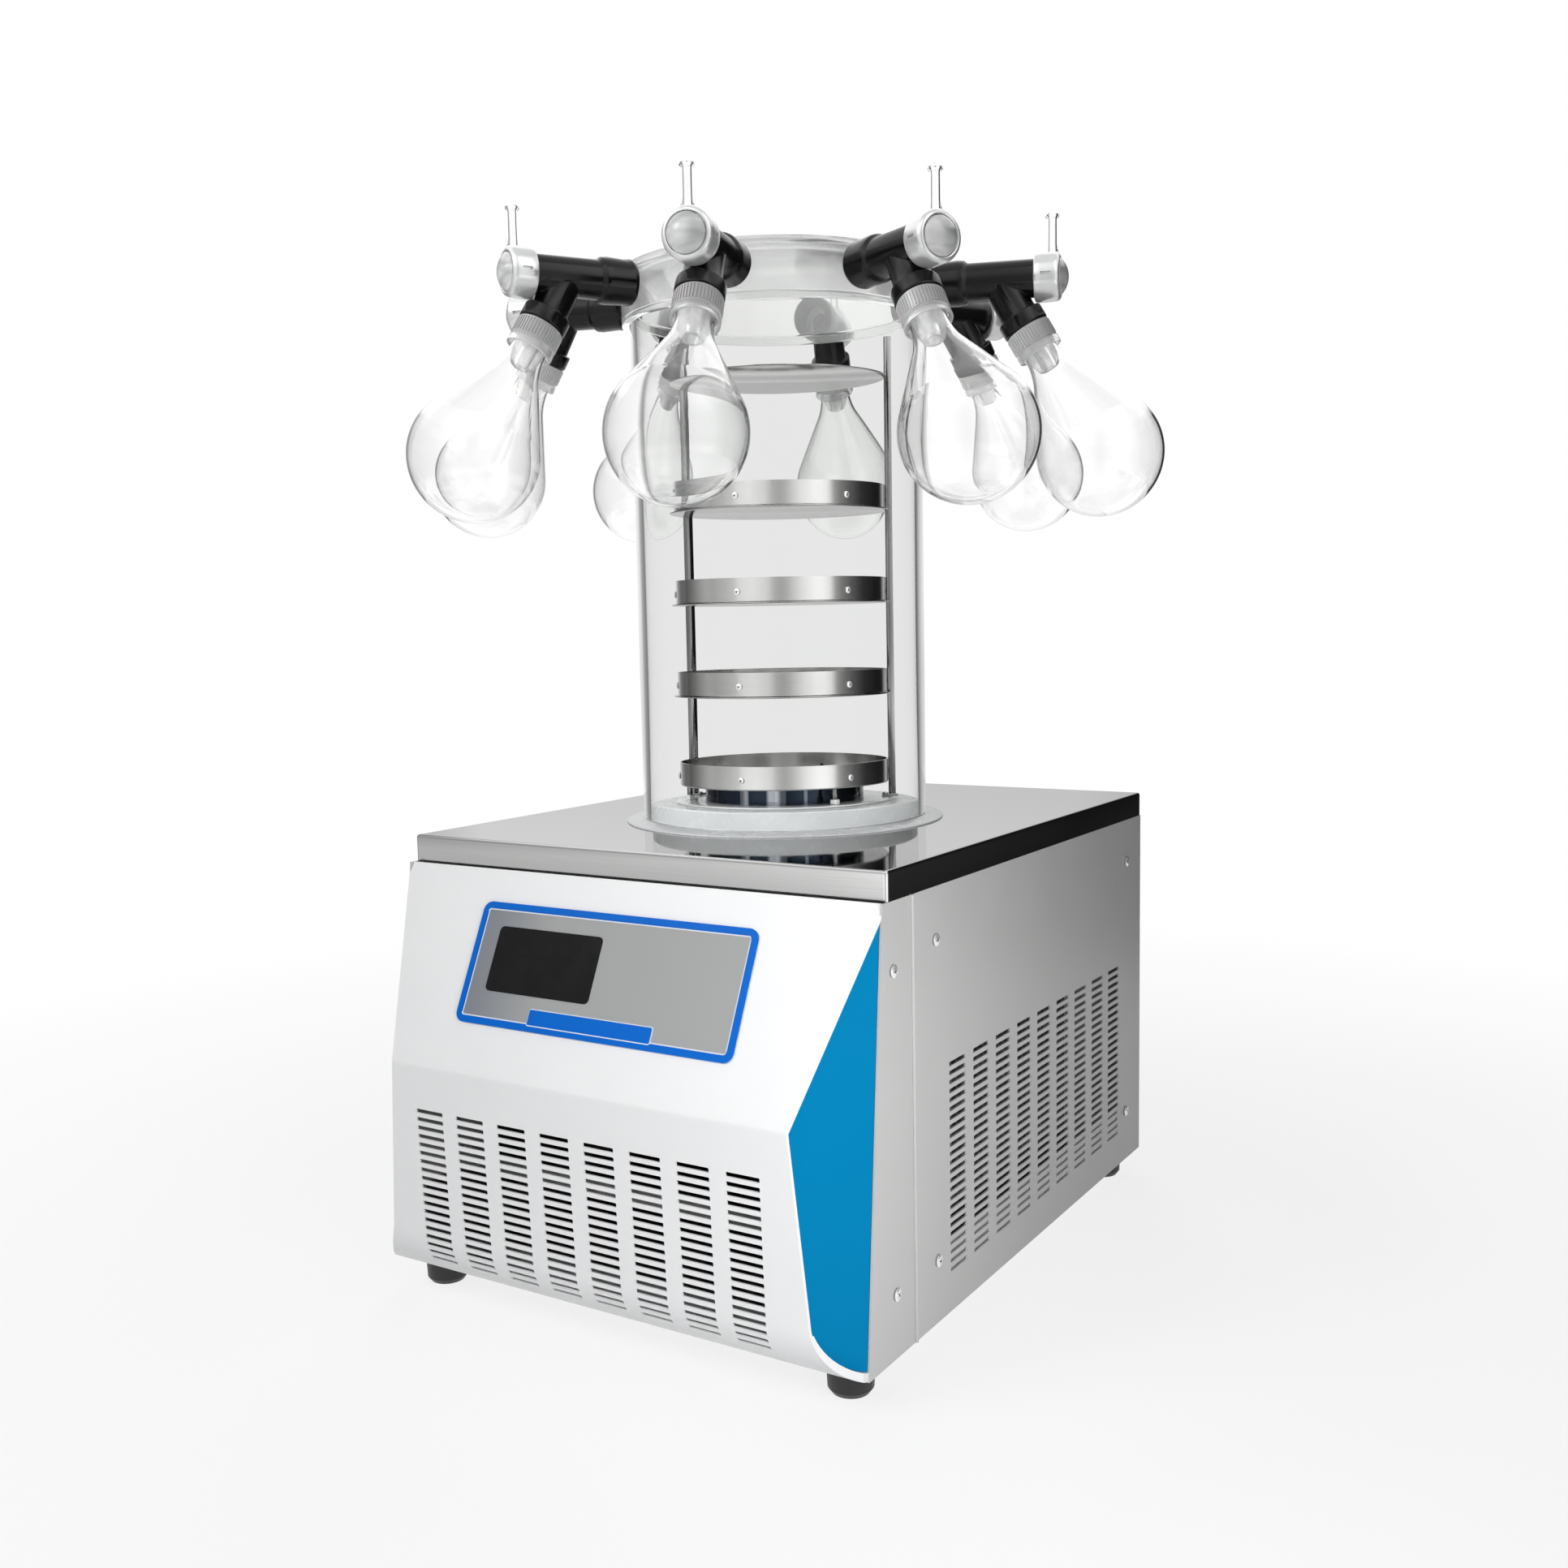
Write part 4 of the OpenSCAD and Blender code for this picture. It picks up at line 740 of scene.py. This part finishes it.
# %% Folded top
CORNER_R, FOLD_R, SHEET = 3, 2.4, 1.5
low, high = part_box("top_plate")
size, middle = high - low, (low + high) / 2
bm = block(size)
upright = [e for e in bm.edges if abs(e.verts[0].co.z - e.verts[1].co.z) > 0.001]
bevelled(bm, upright, CORNER_R, segments=6)
bmesh.ops.delete(bm, geom=[f for f in bm.faces if f.normal.z < -0.9], context="FACES")
outwards(soften(bm, FOLD_R, 60, 6), lambda f: f.calc_area())
top_sheet = piece("top_sheet", bm, sheet_steel, place=Matrix.Translation(middle), angle=50)
walled(top_sheet, SHEET)
top_sheet.modifiers.new("true faces", "WEIGHTED_NORMAL").keep_sharp = True
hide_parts("top_plate")
print("top sheet", tuple(round(v, 3) for v in size))

# %% [markdown]
# ### Chamber
# The gasket, the tube, the collar and the lid are all turned shapes, so each is a closed
# profile spun on the lathe. Clear walls need their true thickness: the inner face bends the
# light again, and draws the dark line just inside each edge of the tube.

# %% Gasket, tube, collar and lid
gasket = turned([(91.4, 378), (140, 378), (140, 378.9), (139.2, 379.3), (126, 380.9), (117.7, 381),
                 (117.7, 394.6), (116.3, 396), (91.4, 396)], 144)
gasket = piece("gasket", soften(gasket, 0.5, 50), silicone)
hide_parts("base_gasket")

tube = turned([(118, 381), (125, 381), (125, 809.7), (118, 809.7)], 160)
tube = piece("chamber_wall", soften(tube, 0.5, 60, 2), acrylic)
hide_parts("chamber_tube")

collar = turned([(118, 810), (125.3, 810), (125.3, 803), (132, 803), (132, 844), (118, 844)], 144)
collar = piece("collar_ring", soften(collar, 1.0, 60), frosted)
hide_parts("valve_collar")

cover = turned([(0, 844), (112, 844), (112, 842), (117.6, 842), (117.6, 844), (131, 844), (131, 848.8),
                (129.8, 850), (96, 850), (95, 849.2), (92, 849.2), (91, 850), (0, 850)], 144, closed=False)
cover = piece("chamber_lid", soften(cover, 0.4, 50), frosted)
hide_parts("lid")
print("chamber pieces:", gasket.name, tube.name, collar.name, cover.name)

# %% [markdown]
# ### Where the valves stand
# The first valve points 17 degrees behind the right-hand side, and the rest follow every 45
# degrees. A barrel runs outwards from the chamber; a branch leaves it at 30 degrees
# from straight down. Each gets a matrix that turns a lathe's Z axis along it.

# %% Places of the valves
BEARINGS = [17 + 45 * i for i in range(8)]
VALVE_Z, BRANCH_AT, LEAN = 828, 192, math.radians(30)


def along_barrel(bearing):
    return about_z(bearing) @ shift(0, 0, VALVE_Z) @ Matrix.Rotation(math.pi / 2, 4, "Y")


def along_branch(bearing):
    return about_z(bearing) @ shift(BRANCH_AT, 0, VALVE_Z) @ Matrix.Rotation(math.pi - LEAN, 4, "Y")


print("valve bearings", BEARINGS)

# %% [markdown]
# ### Flasks
# A flask is blown glass: a round bulb whose shoulder runs straight into the neck. A sphere
# gives the bulb. It is cut where the shoulder leaves it, and the open rim is extruded up into
# the cone and the neck. A bevel softens the throat, and Solidify gives the glass its wall.

# %% Flasks
BULB_R, BULB_AT, NECK_R, NECK_END, NECK_TOP = 52, 166, 14.5, 82, 50.4
THROAT_R, CONE_STEP, GLASS = 12, 14, 1.6
reach = math.hypot(NECK_R, BULB_AT - NECK_END)
swing = math.acos(BULB_R / reach) + math.atan2(NECK_R, BULB_AT - NECK_END)
CUT_AT, CUT_R = -BULB_R * math.cos(swing), BULB_R * math.sin(swing)
STEP_R = NECK_R + (CUT_R - NECK_R) * CONE_STEP / (BULB_AT + CUT_AT - NECK_END)


def blown_flask():
    bm = cut_ball(BULB_R, CUT_AT, 120, 90)
    bmesh.ops.translate(bm, verts=bm.verts, vec=(0, 0, BULB_AT * MM))
    radius = CUT_R
    for height, wide in ((NECK_END + CONE_STEP, STEP_R), (NECK_END, NECK_R), (NECK_TOP, NECK_R)):
        for v in grown(bm, open_edges(bm)):
            v.co = Vector((v.co.x * wide / radius, v.co.y * wide / radius, height * MM))
        radius = wide
    throat = [e for e in bm.edges if all(abs(v.co.z - NECK_END * MM) < 1e-6 for v in e.verts)]
    bevelled(bm, throat, THROAT_R, segments=8)
    return outwards(bm, lambda f: f.calc_center_median().z)


for i, bearing in enumerate(BEARINGS, 1):
    low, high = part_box("flask_%d" % i)
    bulb_centre = along_branch(bearing) @ Vector((0, 0, BULB_AT * MM))
    assert low[2] < bulb_centre.z < high[2], "the flask's place is wrong"
    o = piece("glass_flask_%d" % i, blown_flask(), flask_glass, place=along_branch(bearing))
    walled(o, GLASS)
    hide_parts("flask_%d" % i)
print("flasks", BULB_R * 2, "mm across")

# %% [markdown]
# ### Valve bodies
# A valve is one rubber moulding: a barrel that pushes onto the collar, and a branch that leans
# outwards and ends in a thick ring for the sleeve. Both are turned. A Boolean joins them and
# cuts their bores, because only that gives the true line where two round shapes cross. The
# edges along that line are then bevelled, as a mould maker rounds the inner corner.

# %% Valve bodies
CROSSING_R, CROSSING_END = 0.8, 33


def valve_body():
    barrel = turned([(0, 136), (17.6, 136), (18.8, 139), (18.0, 144), (18.8, 159), (18.2, 164), (15.9, 167),
                     (15.5, 222), (0, 222)], 72, closed=False)
    branch = turned([(0, 0), (14.2, 0), (15.6, 34), (18.6, 34.4), (19.2, 35.4), (19.2, 45.6), (18.7, 46.6),
                     (0, 46.6)], 72, closed=False)
    collar_bore = turned([(0, 120), (12.3, 120), (12.3, 156.3), (11, 156.3), (11, 230), (0, 230)], 48,
                         closed=False)
    branch_bore = turned([(0, 0), (9.3, 0), (9.3, 60), (0, 60)], 48, closed=False)
    for bm in (barrel, branch):
        soften(bm, 0.4, 25, 2)
    for bm, place in ((barrel, along_barrel(0)), (branch, along_branch(0)), (collar_bore, along_barrel(0)),
                      (branch_bore, along_branch(0))):
        bmesh.ops.transform(bm, matrix=place, verts=bm.verts)
    bm = built_up([(barrel, None), (branch, "UNION")])
    bmesh.ops.remove_doubles(bm, verts=bm.verts, dist=0.0002)
    crossing = []
    for e in bm.edges:
        if len(e.link_faces) == 2 and not e.is_convex and e.calc_face_angle(0) > math.radians(25):
            spot = along_branch(0).inverted() @ ((e.verts[0].co + e.verts[1].co) / 2)
            if 0 < spot.z < CROSSING_END * MM:
                crossing.append(e)
    bevelled(bm, crossing, CROSSING_R, segments=3)
    return built_up([(bm, None), (collar_bore, "DIFFERENCE"), (branch_bore, "DIFFERENCE")])


for i, bearing in enumerate(BEARINGS, 1):
    o = piece("valve_%d" % i, valve_body(), rubber, place=about_z(bearing), angle=28)
    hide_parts("valve_body_%d" % i)
print("a valve has", len(o.data.polygons), "faces")

# %% [markdown]
# ### Ribbed sleeves
# Each flask hangs in a grey sleeve with fine ribs for the fingers. The sleeve is turned, and
# every other face of its grip is then pushed out and drawn in a little, which makes the ribs
# real shapes that catch light, for few faces. Below the grip it is a milky skirt, and inside
# sits the pale cone that seals the neck.

# %% Ribbed sleeves and their cones
RIBS, RIB_OUT, RIB_DRAFT, GRIP_R = 48, 0.7, 0.12, 17.5


def ribbed_sleeve():
    bm = turned([(6.6, 47), (17.9, 47), (18.5, 47.6), (18.5, 48.6), (18.5, 61.4), (18.5, 62.4), (17.9, 63),
                 (15, 63), (15, 50.1), (6.6, 50.1)], 2 * RIBS)
    middles = {f: f.calc_center_median() for f in bm.faces}
    grip = [f for f, at in middles.items() if 49 < at.z / MM < 61.5 and at.xy.length > GRIP_R * MM]
    grip.sort(key=lambda f: math.atan2(middles[f].y, middles[f].x))
    for face in grip[::2]:
        bmesh.ops.inset_individual(bm, faces=[face], thickness=RIB_DRAFT * MM, depth=RIB_OUT * MM)
    return bm


for i, bearing in enumerate(BEARINGS, 1):
    down = along_branch(bearing)
    o = piece("sleeve_%d" % i, ribbed_sleeve(), grey_plastic, place=down, angle=30)
    if i == 1:
        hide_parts("flask_adaptors")
    skirt = turned([(15.2, 63), (18, 63), (18.9, 64), (19.1, 69.2), (18.6, 70), (17.2, 70), (16.6, 66)], 96)
    piece("sleeve_skirt_%d" % i, soften(skirt, 0.3, 40), skirt_plastic, place=down)
    cone = turned([(0, 51), (12.4, 51), (12.4, 68), (11.6, 76), (9.2, 84), (7.6, 85.5), (5, 86), (5, 60),
                   (0, 60)], 64, closed=False)
    piece("sealing_cone_%d" % i, soften(cone, 0.6, 30), skirt_plastic, place=down)
print("sleeves with", RIBS, "ribs")

# %% [markdown]
# ### Knobs
# A knob is a white rim that turns on the end of its valve, with a milky domed cap and a glass
# vent that stands on it. The rim is turned, and two long faces on each side are pushed in for
# the slot of its catch. The cap is the top of a sphere, and the vent a tube with a flared lip.
# All of them ride on the knob's own body, so they turn together.

# %% Knobs
RIM_AT, RIM_L, RIM_R, BORE_R = 222.3, 21, 19.8, 8
RIM_END = RIM_AT + RIM_L
SLOT_DEPTH, CAP_R, CAP_RISE, CAP_SKIRT, VENT_BACK = 3, 14.8, 6.4, 3, 7


def knob_rim():
    bm = turned([(BORE_R, 172), (10.9, 172), (10.9, RIM_AT), (18.4, RIM_AT), (RIM_R - 0.3, RIM_AT + 0.8),
                 (RIM_R, RIM_AT + 2.2), (RIM_R, RIM_AT + 6), (RIM_R - 0.2, RIM_AT + 14),
                 (RIM_R - 0.4, RIM_AT + 17.5), (RIM_R - 1.2, RIM_END - 1.4), (RIM_R - 2.6, RIM_END - 0.3),
                 (RIM_R - 3.6, RIM_END), (15.5, RIM_END - 0.4), (15.1, RIM_END - 3.5),
                 (BORE_R, RIM_END - 3.5)], 96)
    for side in (-1, 1):
        wall = [f for f in bm.faces if RIM_AT + 7 < f.calc_center_median().z / MM < RIM_AT + 13]
        wall.sort(key=lambda f: side * f.calc_center_median().y)
        bmesh.ops.inset_region(bm, faces=wall[-2:], thickness=0.05 * MM, depth=-SLOT_DEPTH * MM)
    return bm


def domed_cap():
    ball = (CAP_R * CAP_R + CAP_RISE * CAP_RISE) / (2 * CAP_RISE)
    bm = cut_ball(ball, ball - CAP_RISE, 64, 96)
    for v in grown(bm, open_edges(bm)):
        v.co.z -= CAP_SKIRT * MM
    close(bm)
    bmesh.ops.translate(bm, verts=bm.verts, vec=(0, 0, (CAP_RISE - ball) * MM))
    return soften(bm, 0.5, 30)


for i, bearing in enumerate(BEARINGS, 1):
    body = "knob_%d" % i
    outward = along_barrel(bearing)
    o = piece("knob_rim_%d" % i, knob_rim(), white_plastic, body, outward, 35)
    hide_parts("valve_knob_%d" % i)
    place = outward @ shift(0, 0, RIM_END)
    piece("knob_cap_%d" % i, domed_cap(), cap_plastic, body, place)
    stem = turned([(2.5, 17), (5.6, 17), (5.6, 19.2), (4.4, 22), (3.5, 26), (3.5, 45.6), (3.9, 46.6),
                   (5.2, 47.3), (5.8, 48.3), (5.6, 49.5), (4.9, 50), (3.6, 49.9), (2.8, 48.4), (2.5, 46)], 48)
    upright = about_z(bearing) @ shift(RIM_END - VENT_BACK, 0, VALVE_Z)
    piece("knob_vent_%d" % i, soften(stem, 0.25, 50), vent_glass, body, upright)
print("knobs", RIM_R * 2, "mm across")

# %% [markdown]
# ### Screws
# Small shiny screws hold the sheets and the trays. A low grid is drawn out into a round dome;
# the middle cells form a cross, which is extruded downwards; and the open rim is extruded to
# the sheet. That takes 130 faces, few enough for every screw to be a real shape.

# %% Screws
GRID = [-1, -0.86, -0.7, -0.5, -0.11, 0.11, 0.5, 0.7, 0.86, 1]
CELLS = len(GRID) - 1
DOME, CROSS_DRAFT, CROSS_DEPTH = 0.72, 0.85, 0.55


def cross_screw(radius, height):
    """A screw's head. Its attribute is 1 in the cross and round the foot, where painted shade darkens it."""
    bm = bmesh.new()
    bmesh.ops.create_grid(bm, x_segments=CELLS, y_segments=CELLS, size=1)
    for v in bm.verts:
        x, y = (GRID[round((c + 1) * CELLS / 2)] for c in v.co.xy)
        v.co = Vector((x * math.sqrt(1 - y * y / 2), y * math.sqrt(1 - x * x / 2), 0))
    cross = []
    for face in bm.faces:
        near, far = sorted(abs(c) for c in face.calc_center_median().xy)
        if near < 0.1 and far < 0.5:
            cross.append(face)
    for v in bm.verts:
        rise = height * math.sqrt(1 - DOME * v.co.xy.length_squared)
        v.co = Vector((v.co.x * radius, v.co.y * radius, rise)) * MM
    # The attribute marks painted shade: the cross and the foot are darkened in the colour
    mask = bm.verts.layers.float.new("painted_shade")
    rim = open_edges(bm)
    for v in points_of(bmesh.ops.extrude_face_region(bm, geom=cross)["geom"]):
        v.co = Vector((v.co.x * CROSS_DRAFT, v.co.y * CROSS_DRAFT, v.co.z - height * CROSS_DEPTH * MM))
        v[mask] = 1
    bmesh.ops.delete(bm, geom=cross, context="FACES_ONLY")
    for v in grown(bm, rim):
        v.co.z = 0
        v[mask] = 1
    close(bm)
    return bm


def facing(spot, yaw, turn):
    """A screw's place: its spot in millimetres, its outward bearing, and a turn of its cross."""
    flat = Matrix.Translation(Vector(spot) * MM) @ about_z(yaw)
    return flat @ Matrix.Rotation(math.pi / 2, 4, "Y") @ about_z(turn)


SIDE_X, REAR_X, FRONT, SEAM, BACK, TOP, FOOT = 225, 213, -229, -193.4, 294, 356, 22
places = []
for x, yaw in ((SIDE_X, 0), (-SIDE_X, 180)):
    for k, (y, z) in enumerate([(FRONT + 7, TOP - 50), (FRONT + 7, FOOT + 48), (SEAM + 38.4, FOOT + 48.5),
                                (SEAM + 38.4, TOP - 40), (BACK - 40, FOOT + 48.5), (BACK - 40, TOP - 40)]):
        places.append(facing((x, y, z), yaw, 15 + 31 * k))
for x in (-REAR_X, REAR_X):
    for k, z in enumerate((FOOT + 30, (FOOT + TOP) / 2, TOP - 30)):
        places.append(facing((x, BACK, z), 90, 40 + 23 * k))
o = piece("sheet_screws", copied(cross_screw(4.8, 2.6), places), chrome, angle=50)
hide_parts("panel_screws")

TRAY_R, TRAY_PITCH, TRAY_SCREW_Z = 92.1, 78, 411.4 + 8.4
around = []
for tray in range(4):
    for k in range(6):
        yaw = -81 + 60 * k
        spot = about_z(yaw) @ Vector((TRAY_R, 0, TRAY_SCREW_Z + TRAY_PITCH * tray))
        around.append(facing(spot, yaw, 20 + 17 * k))
o = piece("rim_screws", copied(cross_screw(2.7, 1.5), around), chrome, angle=50)
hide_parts("tray_screws")
print("screws:", len(places), "in the sheets and", len(around), "in the trays, each of",
      len(o.data.polygons) // len(around), "faces")

# %% [markdown]
# ### Rack
# The rack stands on a wide, shallow disc with a rounded bright rim, and a drum joins the disc
# to the lowest tray. Two rolled channels rise beside the trays and carry three shelves and a
# top disc. A small foot and a bolt hold each channel to the disc, and three short stands on
# hexagonal nuts carry the lowest tray. A channel is an open outline that is extruded upwards;
# its large corner radius matters most, because it draws the bright and dark lines along it.

# %% Rack's foot
DISC_R = 96
disc = turned([(66, 396), (95.2, 396), (DISC_R, 396.8), (95.8, 397.4), (94.6, 397.7), (66, 397.6)], 160)
o = piece("rack_disc", soften(disc, 0.3, 40, 2), disc_steel)
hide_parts("rack_base")
drum = turned([(68.8, 397.6), (70, 397.6), (70, 410.3), (69.2, 411.1), (56, 411.1), (56, 409.9),
               (68.8, 409.9)], 160)
piece("rack_drum", drum, drum_steel)
print("rack's foot", DISC_R * 2, "mm across")

# %% Rack's channels
UPRIGHTS, UPRIGHT_AT, UPRIGHT_TOP = (32, 182), 95.3, 790
DEEP, WIDE, WALL, ROLL_R = 6, 8, 1.2, 2
FOOT_Z, NUT_Z, BOLT_Z = 397.9, 399.9, 399.9


def channel_bar(low, high):
    """A rolled channel along Z, open outwards along +X, with rounded corners at its back."""
    d, w = DEEP / 2, WIDE / 2
    section = [(d, -w), (-d, -w), (-d, w), (d, w), (d, w - WALL), (-d + WALL, w - WALL),
               (-d + WALL, -w + WALL), (d, -w + WALL)]
    bm = bmesh.new()
    face = bm.faces.new([bm.verts.new((x * MM, y * MM, low * MM)) for x, y in section])
    up = points_of(bmesh.ops.extrude_face_region(bm, geom=[face])["geom"])
    bmesh.ops.translate(bm, verts=up, vec=(0, 0, (high - low) * MM))
    bmesh.ops.recalc_face_normals(bm, faces=bm.faces)
    corners = [e for e in bm.edges if e.calc_length() > 0.1 and e.verts[0].co.x < -d * MM + 1e-6]
    return soften(bevelled(bm, corners, ROLL_R, segments=6), 0.25, 60, 2)


places = [about_z(a) @ shift(UPRIGHT_AT, 0, 0) for a in UPRIGHTS]
bars = copied(channel_bar(FOOT_Z, UPRIGHT_TOP), places)
o = piece("rack_uprights", bars, channel, angle=45)
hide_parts("rack_frame")

foot = block((14 * MM, 10 * MM, 2 * MM), (-2 * MM, 0, (FOOT_Z + 1) * MM))
piece("upright_feet", copied(soften(foot, 0.5, 40), places), channel)
bolts = [place @ shift(-6.1, 0, BOLT_Z) for place in places]
piece("foot_bolts", copied(cross_screw(2.4, 1.6), bolts), chrome, angle=50)
print("channels:", len(UPRIGHTS), "up to", UPRIGHT_TOP, "mm")

# %% Rack's shelves and stands
SHELVES, STANDS, STAND_R, NUT_R, NUT_H = 3, (212, 332, 92), 84, 4.6, 4
shelf = turned([(0, 488), (95, 488), (95.5, 488.5), (95.5, 489.1), (0, 489.1)], 144, closed=False)
levels = [shift(0, 0, TRAY_PITCH * i) for i in range(SHELVES)]
piece("rack_shelves", copied(soften(shelf, 0.2, 40, 2), levels), shelf_steel)
top_disc = turned([(0, 755.8), (93.2, 755.8), (94, 756.4), (94, 757), (0, 757)], 144, closed=False)
piece("rack_top_disc", soften(top_disc, 0.2, 40, 2), shelf_steel)

bm = bmesh.new()
bmesh.ops.create_cone(bm, segments=6, radius1=NUT_R * MM, radius2=NUT_R * MM, depth=NUT_H * MM, cap_ends=True)
bmesh.ops.translate(bm, verts=bm.verts, vec=(0, 0, NUT_Z * MM))
stands = [about_z(a) @ shift(STAND_R, 0, 0) for a in STANDS]
piece("stand_nuts", copied(soften(bm, 0.5, 40), stands), chrome)
pillar = turned([(0, 401), (2.4, 401), (2.4, 411.2), (0, 411.2)], 24, closed=False)
piece("stand_pillars", copied(soften(pillar, 0.3, 40, 2), stands), channel)
print("rack:", SHELVES, "shelves and", len(STANDS), "stands")

# %% [markdown]
# ### Shade sheet behind the grille
# A thin sheet of black foam lies behind the slots of the left side: a dark sheet that paints
# shade into the inside of the cabinet. Without it, the bright floor shows through both grilles at once.

# %% Shade sheet behind the left grille
# The black sheet is painted shade: it darkens the inside seen through the slots
foam_sheet = block((2 * MM, 384 * MM, 196 * MM))
piece("grille_shade_sheet", soften(foam_sheet, 0.6), foam, place=shift(-219.5, 42, 140))
print("filter behind the left grille")
